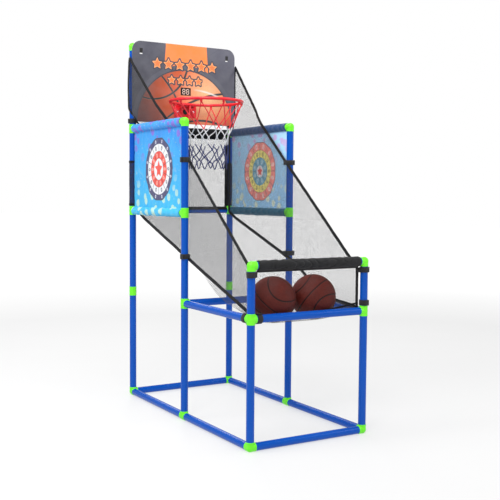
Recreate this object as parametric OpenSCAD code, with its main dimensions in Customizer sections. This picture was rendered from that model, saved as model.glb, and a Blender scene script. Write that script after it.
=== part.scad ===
// Indoor basketball hoop machine: a tube frame with a return net, a backboard with an
// electronic score unit, a rim with its net, two side target panels and two small balls.
// Millimetres. X runs across the machine, +Y to the back, +Z up. The origin lies on the
// floor, at the middle of the whole machine's outline.

/* [Frame] */
// Distance between the left and right post axes
post_gap = 425; // [400:5:450]
// Distance between the front and back post axes
frame_depth = 878; // [850:2:910]
// Outer diameter of the frame tubes
tube_d = 25; // [24:0.5:26]
// Wall thickness of the frame tubes
tube_wall = 0.7; // [0.5:0.1:1.5]
// Height of the tray rails above the base tubes
tray_rise = 389; // [380:1:395]
// Height of the padded front bar above the tray rails
bar_rise = 160.5; // [155:0.5:170]
// Height between the tray rails, the two side arms and the top bar
storey_h = 308.5; // [300:0.5:312]

/* [Backboard] */
// Width of the backboard
board_w = 443; // [430:1:450]
// Height of the backboard
board_h = 303; // [295:1:310]
// Thickness of the backboard
board_t = 4; // [3:0.5:4.5]
// Height of the top edge of the board above the top bar's axis
board_rise = 22; // [18:1:26]

/* [Hoop] */
// Diameter of the rim, measured at the middle of its rod
rim_d = 268; // [255:1:272]
// Diameter of the rim's rod
rim_rod = 11; // [9:0.5:12]
// Length of the hanging net
net_drop = 238; // [200:1:245]

/* [Balls] */
// Diameter of each ball
ball_d = 146; // [130:1:146]

/* [Hidden] */
$fn = 64;

BLUE = [0.03, 0.27, 0.70];
LIME = [0.45, 0.98, 0.20];
BLACK = [0.06, 0.06, 0.065];
MESH = [0.25, 0.25, 0.25, 0.5];
SLATE = [0.32, 0.33, 0.37];
RED = [0.86, 0.05, 0.10];
MAROON = [0.30, 0.13, 0.12];

// Clearance between pieces that are put together by hand
gap = 0.3;

// Fittings: arms a little proud of the tubes, with spigots that go inside them
fit_d = tube_d + 1.5;
fit_ball_d = fit_d + 1;
fit_reach = 17;
spigot_d = tube_d - 2 * tube_wall - 0.2;
spigot_wall = 2;
spigot_len = 22;

// Directions that a fitting's arms can point in
UP = [0, 0, 0];
DOWN = [180, 0, 0];
RIGHT = [0, 90, 0];
LEFT = [0, -90, 0];
BACK = [-90, 0, 0];
FRONT = [90, 0, 0];

// Soft covers
pad_d = 33;
strap_t = 1.2;
strap_w = 17;
cloth_t = 1.2;
strap_r = tube_d / 2 + gap + strap_t;

// Score unit, behind the board
unit_w = 112;
unit_h = 142;
unit_depth = 30;
unit_wall = 2;
cover_t = 2;
button_proud = 1.8;

// Places along Y
board_stand_off = 1.6;
unit_gap = 0.25;
rear_reach = unit_gap + unit_depth + button_proud - tube_d / 2 - board_stand_off;
outline_shift = (pad_d / 2 - rear_reach) / 2;
y_front = -frame_depth / 2 + outline_shift;
y_middle = y_front + frame_depth / 2;
y_back = y_front + frame_depth;
board_back = y_back - tube_d / 2 - board_stand_off;
board_front = board_back - board_t;
unit_front = board_back + unit_gap;
unit_back = unit_front + unit_depth;

// Places along X
post_x = post_gap / 2;
net_x = post_x - strap_r - cloth_t;

// Heights of the tube axes
base_z = tube_d / 2 + 0.4;
tray_z = base_z + tray_rise;
bar_z = tray_z + bar_rise;
low_z = tray_z + storey_h;
high_z = low_z + storey_h;
top_z = high_z + storey_h;
front_levels = [base_z, tray_z, bar_z];
middle_levels = [base_z, tray_z, low_z, high_z];
back_levels = [base_z, tray_z, low_z, high_z, top_z];

// Board and hoop
board_top = top_z + board_rise;
board_mid_z = board_top - board_h / 2;
board_corner = 35;
slot_x = 185;
slot_w = 12;
slot_h = 22;
slot_z = board_top - 38;
rim_z = board_top - 235.5;
rim_gap = 41;
rim_y = board_front - rim_gap - rim_d / 2;
bracket_w = 96;
bracket_h = 52;
bracket_t = 3;
bracket_z = rim_z - 17.5;
screw_gap = 66;
screw_z = rim_z - 21.5;
screw_r = 2;
eye_r = 8;
lugs = 10;

// Display
display_x = 3;
display_w = 43;
display_h = 29;
display_z = board_top - 178.5;

// Balls, resting in the pocket of the return net
ball_r = ball_d / 2;
ball_apart = 154;
balls_shift = -7;
ball_y = y_front + 80;
ball_z = tray_z + 45;
ball_wall = 2.5;

// Inside of the score unit
unit_z = rim_z + 17;
unit_screw_x = unit_w / 2 - 7;
unit_screw_z = unit_h / 2 - 7;
cell_d = 14.5;
cell_len = 50.5;
cell_y = unit_back - cover_t - gap - cell_d / 2;
cell_z = [unit_z - 20, unit_z - 4.5];
pcb_h = 44;
pcb_z = display_z - 4;
pcb_y = unit_front + 6;
bay_w = 66;
bay_h = 36;
bay_z = (cell_z[0] + cell_z[1]) / 2;
switch_x = -34;
switch_z = unit_z + 50;
switch_travel = 4;
button_z = unit_z + 30;
button_r = 4;
speaker_x = 30;
speaker_z = unit_z + 36;
speaker_r = 15;

// ---------- shared shapes ----------

// Hollow cylinder standing on the XY plane
module pipe(outer_d, wall, length) {
  difference() {
    cylinder(d = outer_d, h = length);
    translate([0, 0, -1]) cylinder(d = outer_d - 2 * wall, h = length + 2);
  }
}

// Frame tube standing on the XY plane
module frame_tube(length) {
  pipe(tube_d, tube_wall, length);
}

// Tubes of one post, each cut to stop at the fittings of its two levels
module post(x, y, levels) {
  for (i = [0 : len(levels) - 2])
    translate([x, y, levels[i] + fit_reach])
      frame_tube(levels[i + 1] - levels[i] - 2 * fit_reach);
}

// Tube along X between the left and right posts
module cross_tube(y, z) {
  translate([-post_x + fit_reach, y, z])
    rotate([0, 90, 0]) frame_tube(post_gap - 2 * fit_reach);
}

// Tube along Y from one row of posts to the next
module side_tube(x, y_from, y_to, z) {
  translate([x, y_from + fit_reach, z])
    rotate([-90, 0, 0]) frame_tube(y_to - y_from - 2 * fit_reach);
}

// Moulded fitting with one arm and one spigot for each direction
module fitting(arms) {
  difference() {
    union() {
      sphere(d = fit_ball_d);
      for (arm = arms) rotate(arm) {
        cylinder(d = fit_d, h = fit_reach);
        cylinder(d = spigot_d, h = fit_reach + spigot_len);
      }
    }
    for (arm = arms) rotate(arm)
      translate([0, 0, fit_reach - 2])
        cylinder(d = spigot_d - 2 * spigot_wall, h = spigot_len + 3);
  }
}

// The same fitting on the left and, mirrored, on the right
module fitting_pair(y, z, arms_left, arms_right) {
  color(LIME) {
    translate([-post_x, y, z]) fitting(arms_left);
    translate([post_x, y, z]) fitting(arms_right);
  }
}

// Base fitting, with the moulded flat that it stands on
module base_fitting(x, y, arms) {
  difference() {
    translate([x, y, base_z]) fitting(arms);
    translate([x - 60, y - 60, -20]) cube([120, 120, 20]);
  }
}

// Plate across the machine: a 2-D outline in X and Z, from one Y to another
module slab(y_from, y_to) {
  translate([0, y_to, 0]) rotate([90, 0, 0]) linear_extrude(y_to - y_from) children();
}

// Rectangle with round corners, about its own middle
module round_rect(w, h, r) {
  square([w - 2 * r, h], center = true);
  square([w, h - 2 * r], center = true);
  for (x = [-1, 1], z = [-1, 1]) translate([x * (w / 2 - r), z * (h / 2 - r)]) circle(r);
}

// Hook-and-loop strap round a tube that stands along Z
module strap_ring() {
  pipe(2 * strap_r, strap_t, strap_w);
}

// ---------- frame tubes ----------

module front_left_post() color(BLUE) post(-post_x, y_front, front_levels);
module front_right_post() color(BLUE) post(post_x, y_front, front_levels);
module middle_left_post() color(BLUE) post(-post_x, y_middle, middle_levels);
module middle_right_post() color(BLUE) post(post_x, y_middle, middle_levels);
module back_left_post() color(BLUE) post(-post_x, y_back, back_levels);
module back_right_post() color(BLUE) post(post_x, y_back, back_levels);

module base_rail(x) {
  color(BLUE) {
    side_tube(x, y_front, y_middle, base_z);
    side_tube(x, y_middle, y_back, base_z);
  }
}
module base_left_rail() base_rail(-post_x);
module base_right_rail() base_rail(post_x);

module base_cross_rails() color(BLUE) for (y = [y_front, y_back]) cross_tube(y, base_z);
module tray_cross_rails() color(BLUE) for (y = [y_front, y_middle]) cross_tube(y, tray_z);
module front_bar() color(BLUE) cross_tube(y_front, bar_z);
module back_crossbars() color(BLUE) for (z = [low_z, high_z]) cross_tube(y_back, z);
module top_bar() color(BLUE) cross_tube(y_back, top_z);

module tray_side_rails()
  color(BLUE) for (x = [-post_x, post_x]) side_tube(x, y_front, y_middle, tray_z);
module side_arms(z)
  color(BLUE) for (x = [-post_x, post_x]) side_tube(x, y_middle, y_back, z);
module lower_side_arms() side_arms(low_z);
module upper_side_arms() side_arms(high_z);

// ---------- fittings ----------

module base_corner_fittings() {
  color(LIME) {
    base_fitting(-post_x, y_front, [UP, RIGHT, BACK]);
    base_fitting(post_x, y_front, [UP, LEFT, BACK]);
    base_fitting(-post_x, y_back, [UP, RIGHT, FRONT]);
    base_fitting(post_x, y_back, [UP, LEFT, FRONT]);
  }
}
module base_tee_fittings()
  color(LIME) for (x = [-post_x, post_x]) base_fitting(x, y_middle, [UP, FRONT, BACK]);
module tray_front_fittings()
  fitting_pair(y_front, tray_z, [UP, DOWN, RIGHT, BACK], [UP, DOWN, LEFT, BACK]);
module tray_middle_fittings()
  fitting_pair(y_middle, tray_z, [UP, DOWN, RIGHT, FRONT], [UP, DOWN, LEFT, FRONT]);
module post_couplings() fitting_pair(y_back, tray_z, [UP, DOWN], [UP, DOWN]);
module front_bar_elbows() fitting_pair(y_front, bar_z, [DOWN, RIGHT], [DOWN, LEFT]);
module middle_top_elbows() fitting_pair(y_middle, high_z, [DOWN, BACK], [DOWN, BACK]);
module middle_arm_tees() fitting_pair(y_middle, low_z, [UP, DOWN, BACK], [UP, DOWN, BACK]);
module lower_back_tees()
  fitting_pair(y_back, low_z, [UP, DOWN, FRONT, RIGHT], [UP, DOWN, FRONT, LEFT]);
module upper_back_tees()
  fitting_pair(y_back, high_z, [UP, DOWN, FRONT, RIGHT], [UP, DOWN, FRONT, LEFT]);
module top_bar_elbows() fitting_pair(y_back, top_z, [DOWN, RIGHT], [DOWN, LEFT]);

// ---------- nets and fabric ----------

// Foam pad round the front bar
module bar_pad() {
  length = post_gap - 2 * fit_reach - 6;
  color(BLACK) translate([-length / 2, y_front, bar_z]) rotate([0, 90, 0])
    pipe(pad_d, (pad_d - tube_d) / 2 - gap, length);
}

// Thin three-cornered sheet between points
module net_corner(points) {
  hull() for (p = points) translate(p - [cloth_t / 2, 0, 0]) cube([cloth_t, 0.6, 0.6]);
}

// Side net: upright beside the tray and the target panel, then leaning out past the board's edge
module side_net(side) {
  edge_f = y_front + strap_r + 1;
  edge_b = board_front - 1.6;
  hem_top = top_z - 40;
  hem_mid = high_z - 130;
  fold_z = high_z + 17;
  fold_y = y_middle + (edge_b - y_middle) * (fold_z - hem_mid) / (hem_top - hem_mid);
  flare_x = board_w / 2 + 2;
  flare_z = fold_z + 55;
  near = [side * net_x, fold_y, fold_z];
  color(MESH) {
    translate([side * net_x - cloth_t / 2, 0, 0]) rotate([90, 0, 90]) linear_extrude(cloth_t)
      polygon([
        [edge_f, tray_z + 4], [edge_b, low_z - 4], [edge_b, fold_z + 0.3],
        [fold_y, fold_z + 0.3], [y_middle, hem_mid], [edge_f, bar_z]
      ]);
    net_corner([near, [side * net_x, edge_b, fold_z], [side * flare_x, edge_b, flare_z]]);
    net_corner([near, [side * flare_x, edge_b, flare_z], [side * flare_x, edge_b, hem_top]]);
  }
}
module left_side_net() side_net(-1);
module right_side_net() side_net(1);

// Net between the two back crossbars
module back_net() {
  bottom = low_z + fit_d / 2 + gap;
  top = high_z - strap_r - gap;
  color(MESH) slab(y_back - cloth_t / 2, y_back + cloth_t / 2)
    translate([0, (bottom + top) / 2])
      square([2 * (post_x - strap_r - gap), top - bottom], center = true);
}

// Direction of the line from the ball pocket's middle to a point
function aim(p) = atan2(p[1] - ball_z, p[0] - ball_y);
// Half angle that the pocket fills, seen from a point
function cover(p, r) = acos(r / norm([p[0] - ball_y, p[1] - ball_z]));
// Point on the pocket's arc
function pocket(a, r) = [ball_y + r * cos(a), ball_z + r * sin(a)];

// Sloping return net: straight from the back crossbar, then round under the balls
module return_net() {
  r = ball_r + 1.5;
  hang_front = [y_front + tube_d / 2 + 1, tray_z - 6];
  hang_back = [y_back - tube_d / 2 - 1, low_z - 6];
  from = aim(hang_front) + cover(hang_front, r);
  to = aim(hang_back) - cover(hang_back, r);
  steps = 8;
  inner = [for (i = [0 : steps]) pocket(from + (to - from) * i / steps, r)];
  outer = [for (i = [steps : -1 : 0]) pocket(from + (to - from) * i / steps, r + cloth_t)];
  color(MESH) translate([-net_x + cloth_t, 0, 0]) rotate([90, 0, 90])
    linear_extrude(2 * (net_x - cloth_t))
      polygon(concat([hang_front], inner, [hang_back, hang_back - [0, cloth_t]],
        outer, [hang_front - [0, cloth_t]]));
}

// Straps that tie the net to the posts, and to the tray rails at the front left
module net_straps() {
  places = [[y_back, high_z + 29.5], [y_middle, high_z - 129], [y_middle, low_z - 148],
    [y_front, bar_z - 27]];
  rail_reach = 18;
  color(BLACK) {
    for (side = [-1, 1], place = places)
      translate([side * post_x, place[0], place[1] - strap_w / 2]) strap_ring();
    translate([post_x, y_front, tray_z + 27 - strap_w / 2]) strap_ring();
    translate([-post_x + rail_reach, y_front, tray_z]) rotate([0, 90, 0]) strap_ring();
    translate([-post_x, y_front + rail_reach, tray_z]) rotate([-90, 0, 0]) strap_ring();
  }
}

// Net sleeves that go round the lower part of the back posts
module post_sleeves() {
  length = 171;
  color(BLACK) for (side = [-1, 1])
    translate([side * post_x, y_back, low_z + fit_reach + 1])
      pipe(tube_d + 2 * gap + 2 * 0.8, 0.8, length);
}

// Net sleeve round the upper back crossbar
module crossbar_sleeve() {
  length = post_gap - 2 * fit_reach - 4;
  color(BLACK) translate([-length / 2, y_back, high_z]) rotate([0, 90, 0])
    pipe(2 * strap_r, strap_t, length);
}

// Target panel: a sheet with a sleeve for each of its two arms
module target_panel(x) {
  length = frame_depth / 2 - 2 * fit_reach - 2;
  sleeve_r = tube_d / 2 + gap + cloth_t;
  translate([x, y_middle + fit_reach + 1, 0]) {
    difference() {
      translate([-cloth_t / 2, 0, low_z]) cube([cloth_t, length, storey_h]);
      for (z = [low_z, high_z])
        translate([0, -1, z]) rotate([-90, 0, 0]) cylinder(r = sleeve_r - 0.6, h = length + 2);
    }
    for (z = [low_z, high_z])
      translate([0, 0, z]) rotate([-90, 0, 0]) pipe(2 * sleeve_r, cloth_t, length);
  }
}
module left_target_panel() color([0.15, 0.55, 0.90]) target_panel(-post_x);
module right_target_panel() color([0.45, 0.65, 0.80]) target_panel(post_x);

// ---------- backboard ----------

// Shape of the holes that the display and the rim's fixings need in the board
module board_holes() {
  translate([display_x, display_z])
    square([display_w + 2 * gap, display_h + 2 * gap], center = true);
  for (side = [-1, 1]) translate([side * screw_gap / 2, screw_z]) circle(screw_r + gap);
  translate([0, screw_z]) circle(eye_r + gap);
}

module backboard() {
  color(SLATE) slab(board_front, board_back) difference() {
    translate([0, board_mid_z]) round_rect(board_w, board_h, board_corner);
    for (side = [-1, 1]) translate([side * slot_x, slot_z])
      square([slot_w, slot_h], center = true);
    board_holes();
  }
}

// Clips that snap onto the top bar and hook through the board's slots
module board_clips() {
  clip_w = slot_w - 2 * gap;
  hook_h = slot_h - 5;
  wall = 3;
  color(BLACK) for (side = [-1, 1]) translate([side * slot_x - clip_w / 2, 0, 0]) {
    difference() {
      translate([0, y_back, top_z]) rotate([0, 90, 0])
        pipe(tube_d + 2 * gap + 2 * wall, wall, clip_w);
      translate([-1, board_back - 20, top_z - 30]) cube([clip_w + 2, 20 + gap / 2, 60]);
      translate([-1, y_back + 6, top_z - 8]) cube([clip_w + 2, 20, 30]);
    }
    translate([0, board_front + 0.4, slot_z + slot_h / 2 - gap - hook_h])
      cube([clip_w, board_t + 2, hook_h]);
  }
}

// ---------- hoop ----------

// Rim: ring, tongue, ribs, bracket plate and lugs for the net, in one moulding
module rim() {
  plate_back = board_front - 0.1;
  plate_front = plate_back - bracket_t;
  tongue_w = 62;
  lug_h = 6;
  color(RED) difference() {
    union() {
      translate([0, rim_y, rim_z]) rotate_extrude() translate([rim_d / 2, 0]) circle(d = rim_rod);
      slab(plate_front, plate_back) translate([0, bracket_z]) round_rect(bracket_w, bracket_h, 5);
      translate([-tongue_w / 2, rim_y + rim_d / 2 - 4, rim_z - 2.5])
        cube([tongue_w, plate_back - rim_y - rim_d / 2 + 2, 5]);
      for (side = [-1, 1]) translate([side * 25 - 2, 0, 0]) rotate([90, 0, 90])
        linear_extrude(4) polygon([
          [plate_front + 1, rim_z], [plate_front - 28, rim_z], [plate_front + 1, rim_z - 16]
        ]);
      for (i = [0 : lugs - 1]) translate([0, rim_y, rim_z]) rotate([0, 0, 360 / lugs * (i + 0.5)])
        translate([rim_d / 2 - 3, -3, -rim_rod / 2 - lug_h + 1]) cube([6, 6, lug_h + 2]);
    }
    slab(plate_front - 1, plate_back + 1) {
      for (side = [-1, 1]) translate([side * screw_gap / 2, screw_z]) circle(screw_r + gap);
      translate([0, screw_z]) circle(eye_r + gap);
    }
  }
}

module rim_screws() {
  head_front = board_front - 0.1 - bracket_t - 0.1;
  color([0.85, 0.85, 0.85]) for (side = [-1, 1]) {
    slab(head_front - 3, head_front) translate([side * screw_gap / 2, screw_z]) circle(5);
    slab(head_front - 1, unit_front + 7) translate([side * screw_gap / 2, screw_z])
      circle(screw_r);
  }
}

module rim_nuts() {
  nut_front = unit_front + unit_wall + 0.1;
  color([0.75, 0.75, 0.77]) slab(nut_front, nut_front + 3.2) for (side = [-1, 1])
    translate([side * screw_gap / 2, screw_z]) difference() {
      circle(r = 4.04, $fn = 6);
      circle(r = screw_r + 0.05);
    }
}

// Outline of the hanging net, as the space its cords enclose
module hoop_net() {
  top = rim_z - rim_rod / 2 - 5.5;
  mid_r = 84;
  end_r = ball_r + 3;
  wall = 1.2;
  color([0.9, 0.9, 0.95]) translate([0, rim_y, 0]) rotate_extrude() polygon([
    [rim_d / 2 - 3, top], [rim_d / 2 - 34, top - net_drop * 0.42], [mid_r, top - net_drop * 0.72],
    [end_r, top - net_drop], [end_r + wall, top - net_drop], [mid_r + wall, top - net_drop * 0.72],
    [rim_d / 2 - 34 + wall, top - net_drop * 0.42], [rim_d / 2 - 3 + wall, top]
  ]);
}

// ---------- score unit ----------

// Front shell, open to the back, with four screw posts
module score_housing() {
  color(BLACK) difference() {
    union() {
      difference() {
        slab(unit_front, unit_back - cover_t)
          translate([0, unit_z]) round_rect(unit_w, unit_h, 6);
        slab(unit_front + unit_wall, unit_back)
          translate([0, unit_z]) square([unit_w - 2 * unit_wall, unit_h - 2 * unit_wall], center = true);
      }
      slab(unit_front, unit_back - cover_t) for (x = [-1, 1], z = [-1, 1])
        translate([x * unit_screw_x, unit_z + z * unit_screw_z]) circle(5.5);
    }
    slab(unit_front - 1, unit_front + unit_wall + 1) board_holes();
    slab(unit_back - 14, unit_back) for (x = [-1, 1], z = [-1, 1])
      translate([x * unit_screw_x, unit_z + z * unit_screw_z]) circle(1.35);
  }
}

module score_rear_cover() {
  color(BLACK) slab(unit_back - cover_t, unit_back) difference() {
    translate([0, unit_z]) round_rect(unit_w, unit_h, 6);
    translate([0, bay_z]) square([bay_w, bay_h], center = true);
    for (x = [-1, 1], z = [-1, 1])
      translate([x * unit_screw_x, unit_z + z * unit_screw_z]) circle(1.7);
    for (i = [0 : 6]) translate([speaker_x, speaker_z])
      rotate(60 * i) translate([i == 6 ? 0 : 8, 0]) circle(1.6);
    translate([switch_x + switch_travel / 2, switch_z])
      square([switch_travel + 6 + 2 * gap, 4 + 2 * gap], center = true);
    translate([switch_x, button_z]) circle(button_r + gap);
  }
}

module cover_screws() {
  color([0.75, 0.75, 0.77]) for (x = [-1, 1], z = [-1, 1]) {
    slab(unit_back, unit_back + 1.2)
      translate([x * unit_screw_x, unit_z + z * unit_screw_z]) circle(2.8);
    slab(unit_back - 12, unit_back + 0.6)
      translate([x * unit_screw_x, unit_z + z * unit_screw_z]) circle(1.3);
  }
}

// Dark lens that fills the opening in the board
module display_window() {
  color([0.05, 0.05, 0.06]) slab(board_front + 0.3, board_front + 1.8)
    translate([display_x, display_z]) square([display_w, display_h], center = true);
}

// One seven-segment digit, as raised bars in X and Z
module digit(x, z) {
  w = 11;
  h = 20;
  bar = 2.4;
  translate([x, z]) {
    for (k = [-1, 0, 1]) translate([0, k * (h - bar) / 2])
      square([w - 2 * bar - 0.6, bar], center = true);
    for (i = [-1, 1], k = [-1, 1]) translate([i * (w - bar) / 2, k * (h - bar) / 4])
      square([bar, (h - bar) / 2 - 0.8], center = true);
  }
}

// Display block with the two digits raised on its face
module display_module() {
  face = board_front + 2.6;
  color([0.5, 0.1, 0.08]) {
    slab(face, pcb_y) translate([display_x, display_z])
      square([display_w - 1, display_h - 1], center = true);
    slab(face - 0.6, face + 0.5) for (side = [-1, 1]) digit(display_x + side * 8.5, display_z);
  }
}

module circuit_board() {
  color([0.10, 0.35, 0.18]) slab(pcb_y, pcb_y + 1.6) translate([0, pcb_z])
    square([unit_w - 2 * unit_wall - 2, pcb_h], center = true);
}

// Sensor that looks out through the rim's bracket and counts each ball
module sensor_eye() {
  color([0.03, 0.03, 0.03]) {
    slab(board_front - bracket_t - 0.6, unit_front + 8) translate([0, screw_z]) circle(eye_r);
    slab(unit_front + unit_wall + 0.1, unit_front + 8) translate([0, screw_z]) circle(eye_r + 2);
  }
}

// Lead from the sensor up to the circuit board
module sensor_lead() {
  from = screw_z + eye_r + 2;
  color([0.6, 0.1, 0.1]) translate([0, pcb_y + 0.8, from])
    cylinder(r = 0.8, h = pcb_z - pcb_h / 2 - from, $fn = 24);
}

module speaker() {
  color([0.2, 0.2, 0.2]) {
    slab(unit_back - cover_t - 9, unit_back - cover_t - 0.3)
      translate([speaker_x, speaker_z]) circle(speaker_r);
    slab(unit_back - cover_t - 13, unit_back - cover_t - 8)
      translate([speaker_x, speaker_z]) circle(speaker_r * 0.5);
  }
}

// Spring plates that touch the two ends of the cells
module battery_contacts() {
  color([0.8, 0.8, 0.75]) for (side = [-1, 1])
    translate([side * (cell_len / 2 + 0.3) - 0.3, cell_y - 6, bay_z - 15])
      cube([0.6, 12, 30]);
}

module batteries() {
  color([0.35, 0.35, 0.38]) for (z = cell_z)
    translate([-cell_len / 2, cell_y, z]) rotate([0, 90, 0]) {
      cylinder(d = cell_d, h = cell_len - 1);
      cylinder(d = 5.5, h = cell_len);
    }
}

// Lid of the battery bay
module battery_cover() {
  color(BLACK) {
    slab(unit_back - cover_t, unit_back) translate([0, bay_z])
      square([bay_w - 2 * gap, bay_h - 2 * gap], center = true);
    slab(unit_back - 0.5, unit_back + 1) for (i = [-2 : 2]) translate([i * 4, bay_z + 11])
      square([1.6, 8], center = true);
  }
}

// Slide switch, drawn in its off place
module power_switch() {
  color([0.8, 0.8, 0.8]) {
    slab(unit_back - cover_t - 0.8, unit_back + 1) translate([switch_x, switch_z])
      square([6, 4], center = true);
    slab(unit_back - cover_t - 2.3, unit_back - cover_t - gap) translate([switch_x, switch_z])
      square([11, 8], center = true);
  }
}

module reset_button() {
  color([0.8, 0.1, 0.1]) {
    slab(unit_back - cover_t - 1, unit_back + button_proud) translate([switch_x, button_z])
      circle(button_r);
    slab(unit_back - cover_t - 2.3, unit_back - cover_t - gap) translate([switch_x, button_z])
      circle(button_r + 1.5);
  }
}

// ---------- balls ----------

// Hollow ball with its inflation valve hole
module ball(x, tilt) {
  color(MAROON) translate([x, ball_y, ball_z]) rotate(tilt) difference() {
    sphere(r = ball_r, $fn = 96);
    sphere(r = ball_r - ball_wall, $fn = 96);
    cylinder(r = 1.6, h = ball_r + 5);
  }
}
module left_ball() ball(balls_shift - ball_apart / 2, [62, 0, 38]);
module right_ball() ball(balls_shift + ball_apart / 2, [-40, 25, 0]);

front_left_post();
front_right_post();
middle_left_post();
middle_right_post();
back_left_post();
back_right_post();
base_left_rail();
base_right_rail();
base_cross_rails();
tray_side_rails();
tray_cross_rails();
front_bar();
lower_side_arms();
upper_side_arms();
back_crossbars();
top_bar();
base_corner_fittings();
base_tee_fittings();
tray_front_fittings();
tray_middle_fittings();
post_couplings();
front_bar_elbows();
middle_top_elbows();
middle_arm_tees();
lower_back_tees();
upper_back_tees();
top_bar_elbows();
bar_pad();
left_side_net();
right_side_net();
back_net();
return_net();
net_straps();
post_sleeves();
crossbar_sleeve();
left_target_panel();
right_target_panel();
backboard();
board_clips();
rim();
rim_screws();
rim_nuts();
hoop_net();
score_housing();
score_rear_cover();
cover_screws();
display_window();
display_module();
circuit_board();
sensor_eye();
sensor_lead();
speaker();
battery_contacts();
batteries();
battery_cover();
power_switch();
reset_button();
left_ball();
right_ball();
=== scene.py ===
"""The looks of an indoor basketball hoop machine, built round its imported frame.

Every length is in metres, in the frame's own axes: X across the machine, +Y from the player to the
backboard, +Z up. Places come from the frame's boxes; sizes that only the looks need are fields of the
class that uses them.
"""

import logging
import math
import random
from dataclasses import dataclass, field
from enum import Enum
from math import cos, pi, sin
from typing import Iterable, Optional, Sequence, Union

import bmesh
import bpy
import numpy as np
from bpy.types import Material, Object
from mathutils import Matrix, Vector, noise


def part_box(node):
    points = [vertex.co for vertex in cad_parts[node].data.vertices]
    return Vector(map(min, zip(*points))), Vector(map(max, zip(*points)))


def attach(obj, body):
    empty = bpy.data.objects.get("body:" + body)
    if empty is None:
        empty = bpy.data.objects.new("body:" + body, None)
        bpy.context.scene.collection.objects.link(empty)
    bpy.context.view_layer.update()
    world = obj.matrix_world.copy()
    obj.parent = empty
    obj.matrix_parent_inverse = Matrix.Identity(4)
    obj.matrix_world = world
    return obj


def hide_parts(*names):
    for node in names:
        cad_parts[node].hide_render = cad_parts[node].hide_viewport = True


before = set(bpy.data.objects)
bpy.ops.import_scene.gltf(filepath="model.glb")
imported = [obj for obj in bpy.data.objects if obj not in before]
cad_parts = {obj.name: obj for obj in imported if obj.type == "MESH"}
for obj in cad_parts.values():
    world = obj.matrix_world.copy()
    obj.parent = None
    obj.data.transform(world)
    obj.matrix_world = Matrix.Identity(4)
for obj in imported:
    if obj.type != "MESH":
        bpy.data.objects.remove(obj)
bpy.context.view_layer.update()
LOG = logging.getLogger("hoop_machine")
MM = 0.001

# What several pieces share: the grid that mouldings are fused on, the gap round a fitted part,
# the screws' holes and heads
FUSE_GRID = 0.0009
FIT_GAP = 0.0003
SCREW_HOLE_R = 0.0023
SCREW_HEAD_R = 0.0050

Colour = tuple[float, float, float]
Point = Sequence[float]


def srgb(red: int, green: int, blue: int) -> Colour:
    """Turns a screen colour, 0 to 255, into the linear one that shaders take.

    Args:
        red: the red channel.
        green: the green channel.
        blue: the blue channel.

    Returns:
        The three linear values.
    """
    def linear(level: int) -> float:
        """One channel made linear."""
        share = level / 255
        return share / 12.92 if share <= 0.04045 else ((share + 0.055) / 1.055) ** 2.4

    return linear(red), linear(green), linear(blue)


# ---- where things are


@dataclass(frozen=True)
class Layout:
    """The lines of the tube frame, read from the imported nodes.

    Attributes:
        post_x: distance of the posts from the middle plane.
        front, middle, back: the three rows of posts along Y.
        base, tray, bar, low, high, top: heights of the tube axes.
        tube_r: outer radius of the tubes.
    """

    post_x: float
    front: float
    middle: float
    back: float
    base: float
    tray: float
    bar: float
    low: float
    high: float
    top: float
    tube_r: float

    @staticmethod
    def read() -> "Layout":
        """Measures the frame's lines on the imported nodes.

        Returns:
            The layout.
        """
        front_post = centre("front_right_post")
        return Layout(
            post_x=front_post.x,
            front=front_post.y,
            middle=centre("middle_right_post").y,
            back=centre("back_right_post").y,
            base=centre("base_cross_rails").z,
            tray=centre("tray_cross_rails").z,
            bar=centre("front_bar").z,
            low=centre("lower_side_arms").z,
            high=centre("upper_side_arms").z,
            top=centre("top_bar").z,
            tube_r=size("top_bar").z / 2,
        )


def centre(node: str) -> Vector:
    """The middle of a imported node's box."""
    low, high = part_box(node)
    return (low + high) / 2


def size(node: str) -> Vector:
    """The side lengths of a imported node's box."""
    low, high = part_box(node)
    return high - low


# ---- meshes


def skin(name: str, rows: Sequence, ring: bool = False) -> Object:
    """Makes a piece that is one skin over rows of points."""
    shape = Shape()
    shape.grid(rows, ring=ring)
    return shape.object(name)


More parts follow.
